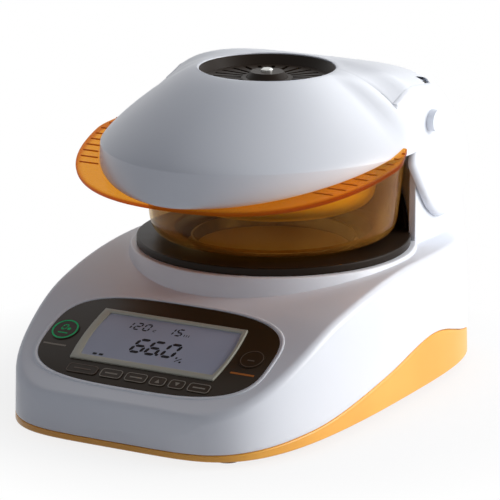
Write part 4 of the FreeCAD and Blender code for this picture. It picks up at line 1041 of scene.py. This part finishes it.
def figure(character, out, up, width, height, stroke):
    """Lean seven-segment figure: each stroke is a bar with pointed ends between two corners of a 1 by 2 frame."""
    marks = []
    for name in FIGURES[character]:
        start, end = (np.array(point) * (width, height) for point in STROKES[name])
        along = (end - start) / np.linalg.norm(end - start)
        beside = np.array([-along[1], along[0]]) * stroke / 2
        start, end = start + along * stroke * 0.2, end - along * stroke * 0.2
        reach = along * stroke / 2
        mark = np.array([start, start + reach + beside, end - reach + beside, end, end - reach - beside,
                         start + reach - beside])
        mark[:, 0] += LEAN * mark[:, 1]
        marks.append(mark + (out, up))
    return marks


def bar(out, up, width, height):
    """A plain rectangular mark."""
    return rounded_rectangle(width, height, min(width, height) * 0.2, out, up)


# Text, distance out of its first figure and pitch, how far up its foot is, and width, height and stroke of a figure.
READINGS = (("120", -31.5, 6.6, 15.4, 3.9, 6.0, 1.15), ("c", -10.5, 0, 15.6, 2.0, 3.0, 0.5),
            ("15", -0.5, 6.2, 15.4, 3.9, 6.0, 1.15), ("66", -16.8, 10.9, -5.0, 7.6, 12.0, 2.3),
            ("0", 6.2, 0, -5.0, 7.6, 12.0, 2.3))
# Out, up, width and height: three strokes after the time, decimal point, both dots of the percent sign, and
# two marks in the corner.
DISPLAY_BARS = ((12.6, 16.4, 0.5, 2.0), (14.3, 16.4, 0.5, 2.0), (16.0, 16.4, 0.5, 2.0), (3.4, -4.6, 2.0, 2.0),
                (18.0, -4.6, 1.5, 1.5), (22.0, -7.9, 1.5, 1.5), (-38.2, -12.2, 3.0, 1.8), (-33.6, -12.2, 3.0, 1.8))


def display_figures():
    """Temperature, time and moisture as an idle drying run shows them, with the small marks beside."""
    marks = [bar(*place) for place in DISPLAY_BARS]
    for text, out, pitch, up, *size in READINGS:
        for index, character in enumerate(text):
            marks += figure(character, out + pitch * index, up, *size)
    turn = math.radians(42)
    turned = np.array([[math.cos(turn), math.sin(turn)], [-math.sin(turn), math.cos(turn)]])
    return marks + [bar(0, 0, 5.2, 0.7) @ turned + (20.0, -6.3)]


def marks_piece(name, outlines, level, material, body, extra=()):
    """One piece from flat marks at a level on the panel."""
    walls, ends = gathered([printed(outline, level) for outline in outlines])
    piece = make_piece(name, [*extra, *walls], material, 30, ends)
    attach(piece, body)


# Name, middle and width of each key in the row.
ROW_KEYS = (("mode", -38.6, 22.5), ("menu", -17.15, 16.0), ("select", 1.05, 16.0), ("up", 17.05, 11.6),
            ("down", 30.85, 11.6), ("enter", 46.85, 16.0))


class BuildPanel(bpy.types.Operator):
    """Dark overlay, display with its figures, and the marks on the keys"""
    bl_idname = "analyzer.panel"
    bl_label = "Display panel"

    def execute(self, context):
        overlay, ends = plate(oval(81.2, 41.0), -1.0, 0.2, 0.15, panel_to_space)
        stand_for(make_piece("overlay", [overlay], "brown overlay", 30, ends), "base", "panel_overlay", "panel_plate")
        outer, inner = bowed(-52.5, 52.5, -24.5, 24.5), bowed(-47.2, 49.6, -19.8, 21.6, 2.4)
        bezel = band(lambda share, level: panel_to_space(outer * (1 - share) + inner * share, level),
                     ((0.0, 0.1), (0.0, 1.3), (0.12, 1.6), (0.75, 1.5), (1.0, 0.9), (1.0, 0.1)))
        stand_for(make_piece("frame_bezel", [bezel], "grey ABS", 30), "base", "display_grey", "display_frame")
        cell, ends = printed(bowed(-47.4, 49.8, -20.0, 21.8, 2.4), 0.25, 1.1)
        stand_for(make_piece("lcd_window", [cell], "cell", 30, ends), "base", "display_cell", "display_window")
        marks_piece("lcd_figures", display_figures(), 0.31, "print", "base")
        marks_piece("overlay_marks", [bar(68.0, -9.3, 17.0, 1.6)], 0.26, "orange print", "base")
        marks_piece("overlay_note", [bar(-70.0, -9.6, 17.0, 1.3)], 0.26, "pale print", "base")

        tare = figure("0", -73.0, 4.6, 3.0, 4.4, 0.8) + [bar(-67.4, 5.6, 2.2, 2.2), bar(-70.0, 1.4, 7.0, 0.9)]
        for name, out, outer, inner, finish, marks in (("tare", -70.0, 9.0, 7.9, "green print", tare),
                                                       ("start", 68.0, 7.6, 7.2, "dim print",
                                                        [bar(68.0, 3.4, 5.0, 1.0)])):
            marks_piece(name + "_mark", marks, KEY_LEVEL, finish, f"key_{name}_body",
                        [printed_line(circle(outer, out), circle(inner, out))])
        for name, out, width in ROW_KEYS:
            outer = rounded_rectangle(width - 0.6, 7.8, 2.3, out, ROW_UP)
            inner = rounded_rectangle(width - 0.6 - 2 * LINE, 7.8 - 2 * LINE, 1.8, out, ROW_UP)
            mark = bar(out, ROW_UP, width * 0.55, 1.1)
            if name in ("up", "down"):
                point = 1.6 if name == "up" else -1.6
                mark = np.array([(out - 1.7, ROW_UP - point), (out + 1.7, ROW_UP - point), (out, ROW_UP + point)])
            marks_piece(name + "_mark", [mark], KEY_LEVEL, "dim print" if name == "mode" else "pale print",
                        f"key_{name}_body", [printed_line(outer, inner)])
        return {"FINISHED"}


CAD_FINISH = {
    "cell": ("display_module",),
    "brown overlay": ("key_tare", "key_start", "key_mode", "key_menu", "key_select", "key_up", "key_down",
                      "key_enter"),
    "board": ("keypad_board", "main_board", "power_supply"),
    "black nylon": ("key_switches", "power_inlet", "switch_frame", "rocker_switch", "levelling_foot_left",
                    "levelling_foot_right"),
    "plated steel": ("pan_support", "serial_port", "case_screws"),
    "machined aluminium": ("load_cell",),
    "cast aluminium": ("load_cell_mount",),
    "brass": ("board_standoffs", "hinge_bushes"),
    "stainless steel": ("hood_liner", "temperature_sensor", "vent_screw", "hinge_pins"),
    "brown PPS": ("glass_ring", "vent_grille"),
    "quartz": ("heater_tubes",),
    "white ceramic": ("heater_holders",),
    "white ABS": ("hinge_caps",),
    "black rubber": ("front_feet",),
}


class FinishCadPieces(bpy.types.Operator):
    """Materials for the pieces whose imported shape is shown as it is"""
    bl_idname = "analyzer.cad_pieces"
    bl_label = "Packed pieces"

    def execute(self, context):
        for finish, names in CAD_FINISH.items():
            for name in names:
                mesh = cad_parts[name].data
                mesh.materials.clear()
                mesh.materials.append(MATERIALS[finish])
        return {"FINISHED"}


def combined(tree, operation, first, second):
    """Two values taken together by a math node."""
    return add_node(tree, "Math", {0: first, 1: second}, operation=operation).outputs[0]


def shown_rays(tree):
    """1 for what shows the background: camera rays, and rays through glass or off gloss. 0 for plain light."""
    path = add_node(tree, "LightPath").outputs
    clear_ray = combined(tree, "MAXIMUM", path["Is Camera Ray"], path["Is Transmission Ray"])
    return combined(tree, "MAXIMUM", clear_ray, path["Is Glossy Ray"])


def aimed(name, energy, size_x, size_y, place, colour):
    """A rectangular lamp at a place, turned to the object's middle."""
    lamp = bpy.data.lights.new(name, "AREA")
    lamp.shape = "RECTANGLE"
    lamp.size, lamp.size_y, lamp.energy, lamp.color = size_x, size_y, energy, colour
    thing = placed(name, lamp)
    thing.location = place
    thing.rotation_euler = (Vector((0.0, 0.0, 0.1)) - Vector(place)).to_track_quat("-Z", "Y").to_euler()


def make_floor(scene):
    """A pale floor that shades to plain white round the object, for the rays that show it."""
    mesh = bpy.data.meshes.new("floor")
    mesh.from_pydata([(-6, -6, 0), (6, -6, 0), (6, 6, 0), (-6, 6, 0)], [], [(0, 1, 2, 3)])
    material, tree, shader, coords = new_material("pale floor")
    put(shader, Base_Color=tuple(scene.analyzer_stage.floor_colour), Roughness=0.9, Specular_IOR_Level=0.1)
    white = add_node(tree, "Emission", {"Color": (1, 1, 1, 1), "Strength": 1.0})
    place = add_node(tree, "VectorMath", {0: coords}, operation="LENGTH").outputs["Value"]
    fade = ranged(tree, place, 0.14, 0.26, 0.80, 1.0)
    show(tree, mixed(tree, combined(tree, "MULTIPLY", shown_rays(tree), fade), shader, white))
    mesh.materials.append(material)
    floor = placed("floor", mesh)


def make_world(scene):
    """Faint cool light all round, and plain white for the rays that show it."""
    scene.world = bpy.data.worlds.new("studio")
    scene.world.use_nodes = True
    tree = scene.world.node_tree
    tree.nodes.clear()
    plain, pale = (add_node(tree, "Background", {"Color": colour, "Strength": strength})
                   for colour, strength in ((linear("E4E7F2"), scene.analyzer_stage.fill_level),
                                            ((1, 1, 1, 1), 1.0)))
    add_node(tree, "OutputWorld", {"Surface": mixed(tree, shown_rays(tree), plain, pale)})


def make_camera(scene):
    """The photograph's view: 1.5 pixels to the millimetre from far off, with the object off centre."""
    azimuth, elevation, scale = math.radians(29.5), math.radians(14.8), 1.5
    focal, picture, sensor = 3500.0, 500.0, 36.0
    back = Vector((math.sin(azimuth) * math.cos(elevation), -math.cos(azimuth) * math.cos(elevation),
                   math.sin(elevation)))
    right = Vector((math.cos(azimuth), math.sin(azimuth), 0))
    up = back.cross(right)
    place = Vector((0, CHAMBER, 97.1)) - right * (23.5 / scale) - up * (16.9 / scale) + back * (focal / scale)
    data = bpy.data.cameras.new("camera")
    data.sensor_width, data.lens, data.clip_end = sensor, focal / picture * sensor, 20.0
    camera = placed("camera", data)
    camera.matrix_world = Matrix.Translation(place * MM) @ Matrix((right, up, back)).transposed().to_4x4()
    scene.camera = camera


class BuildStage(bpy.types.Operator):
    """Floor, surrounding light, lamps and camera"""
    bl_idname = "analyzer.stage"
    bl_label = "Stage"

    def execute(self, context):
        scene = context.scene
        scene.view_settings.view_transform = "Standard"
        make_floor(scene)
        make_world(scene)
        power = scene.analyzer_stage.key_power
        aimed("key", power, 0.8, 0.9, (1.1, 0.55, 0.5), (1.0, 0.99, 0.97))
        aimed("top", power * 0.2, 0.6, 0.6, (0.1, 0.8, 0.9), (0.96, 0.98, 1.0))
        make_camera(scene)
        return {"FINISHED"}


class AnalyzerPanel(bpy.types.Panel):
    """Lists the steps in the sidebar"""
    bl_idname = "VIEW3D_PT_analyzer"
    bl_label = "Moisture analyzer"
    bl_space_type = "VIEW_3D"
    bl_region_type = "UI"
    bl_category = "Analyzer"

    def draw(self, context):
        for step in STEPS:
            self.layout.operator(step.bl_idname)


STEPS = (BuildStage, BuildCases, BuildChamber, BuildHood, BuildPanel, FinishCadPieces)
CLASSES = (AnalyzerSizes, AnalyzerStage) + STEPS + (AnalyzerPanel,)


def register():
    """Registers the classes and their settings."""
    for cls in CLASSES:
        bpy.utils.register_class(cls)
    bpy.types.Scene.analyzer_sizes = bpy.props.PointerProperty(type=AnalyzerSizes)
    bpy.types.Scene.analyzer_stage = bpy.props.PointerProperty(type=AnalyzerStage)


def unregister():
    """Takes the settings and the classes out again."""
    del bpy.types.Scene.analyzer_stage
    del bpy.types.Scene.analyzer_sizes
    for cls in reversed(CLASSES):
        bpy.utils.unregister_class(cls)


def main():
    """Registers everything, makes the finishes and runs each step."""
    register()
    make_materials()
    for step in STEPS:
        group, name = step.bl_idname.split(".")
        getattr(getattr(bpy.ops, group), name)()


if __name__ == "__main__":
    main()
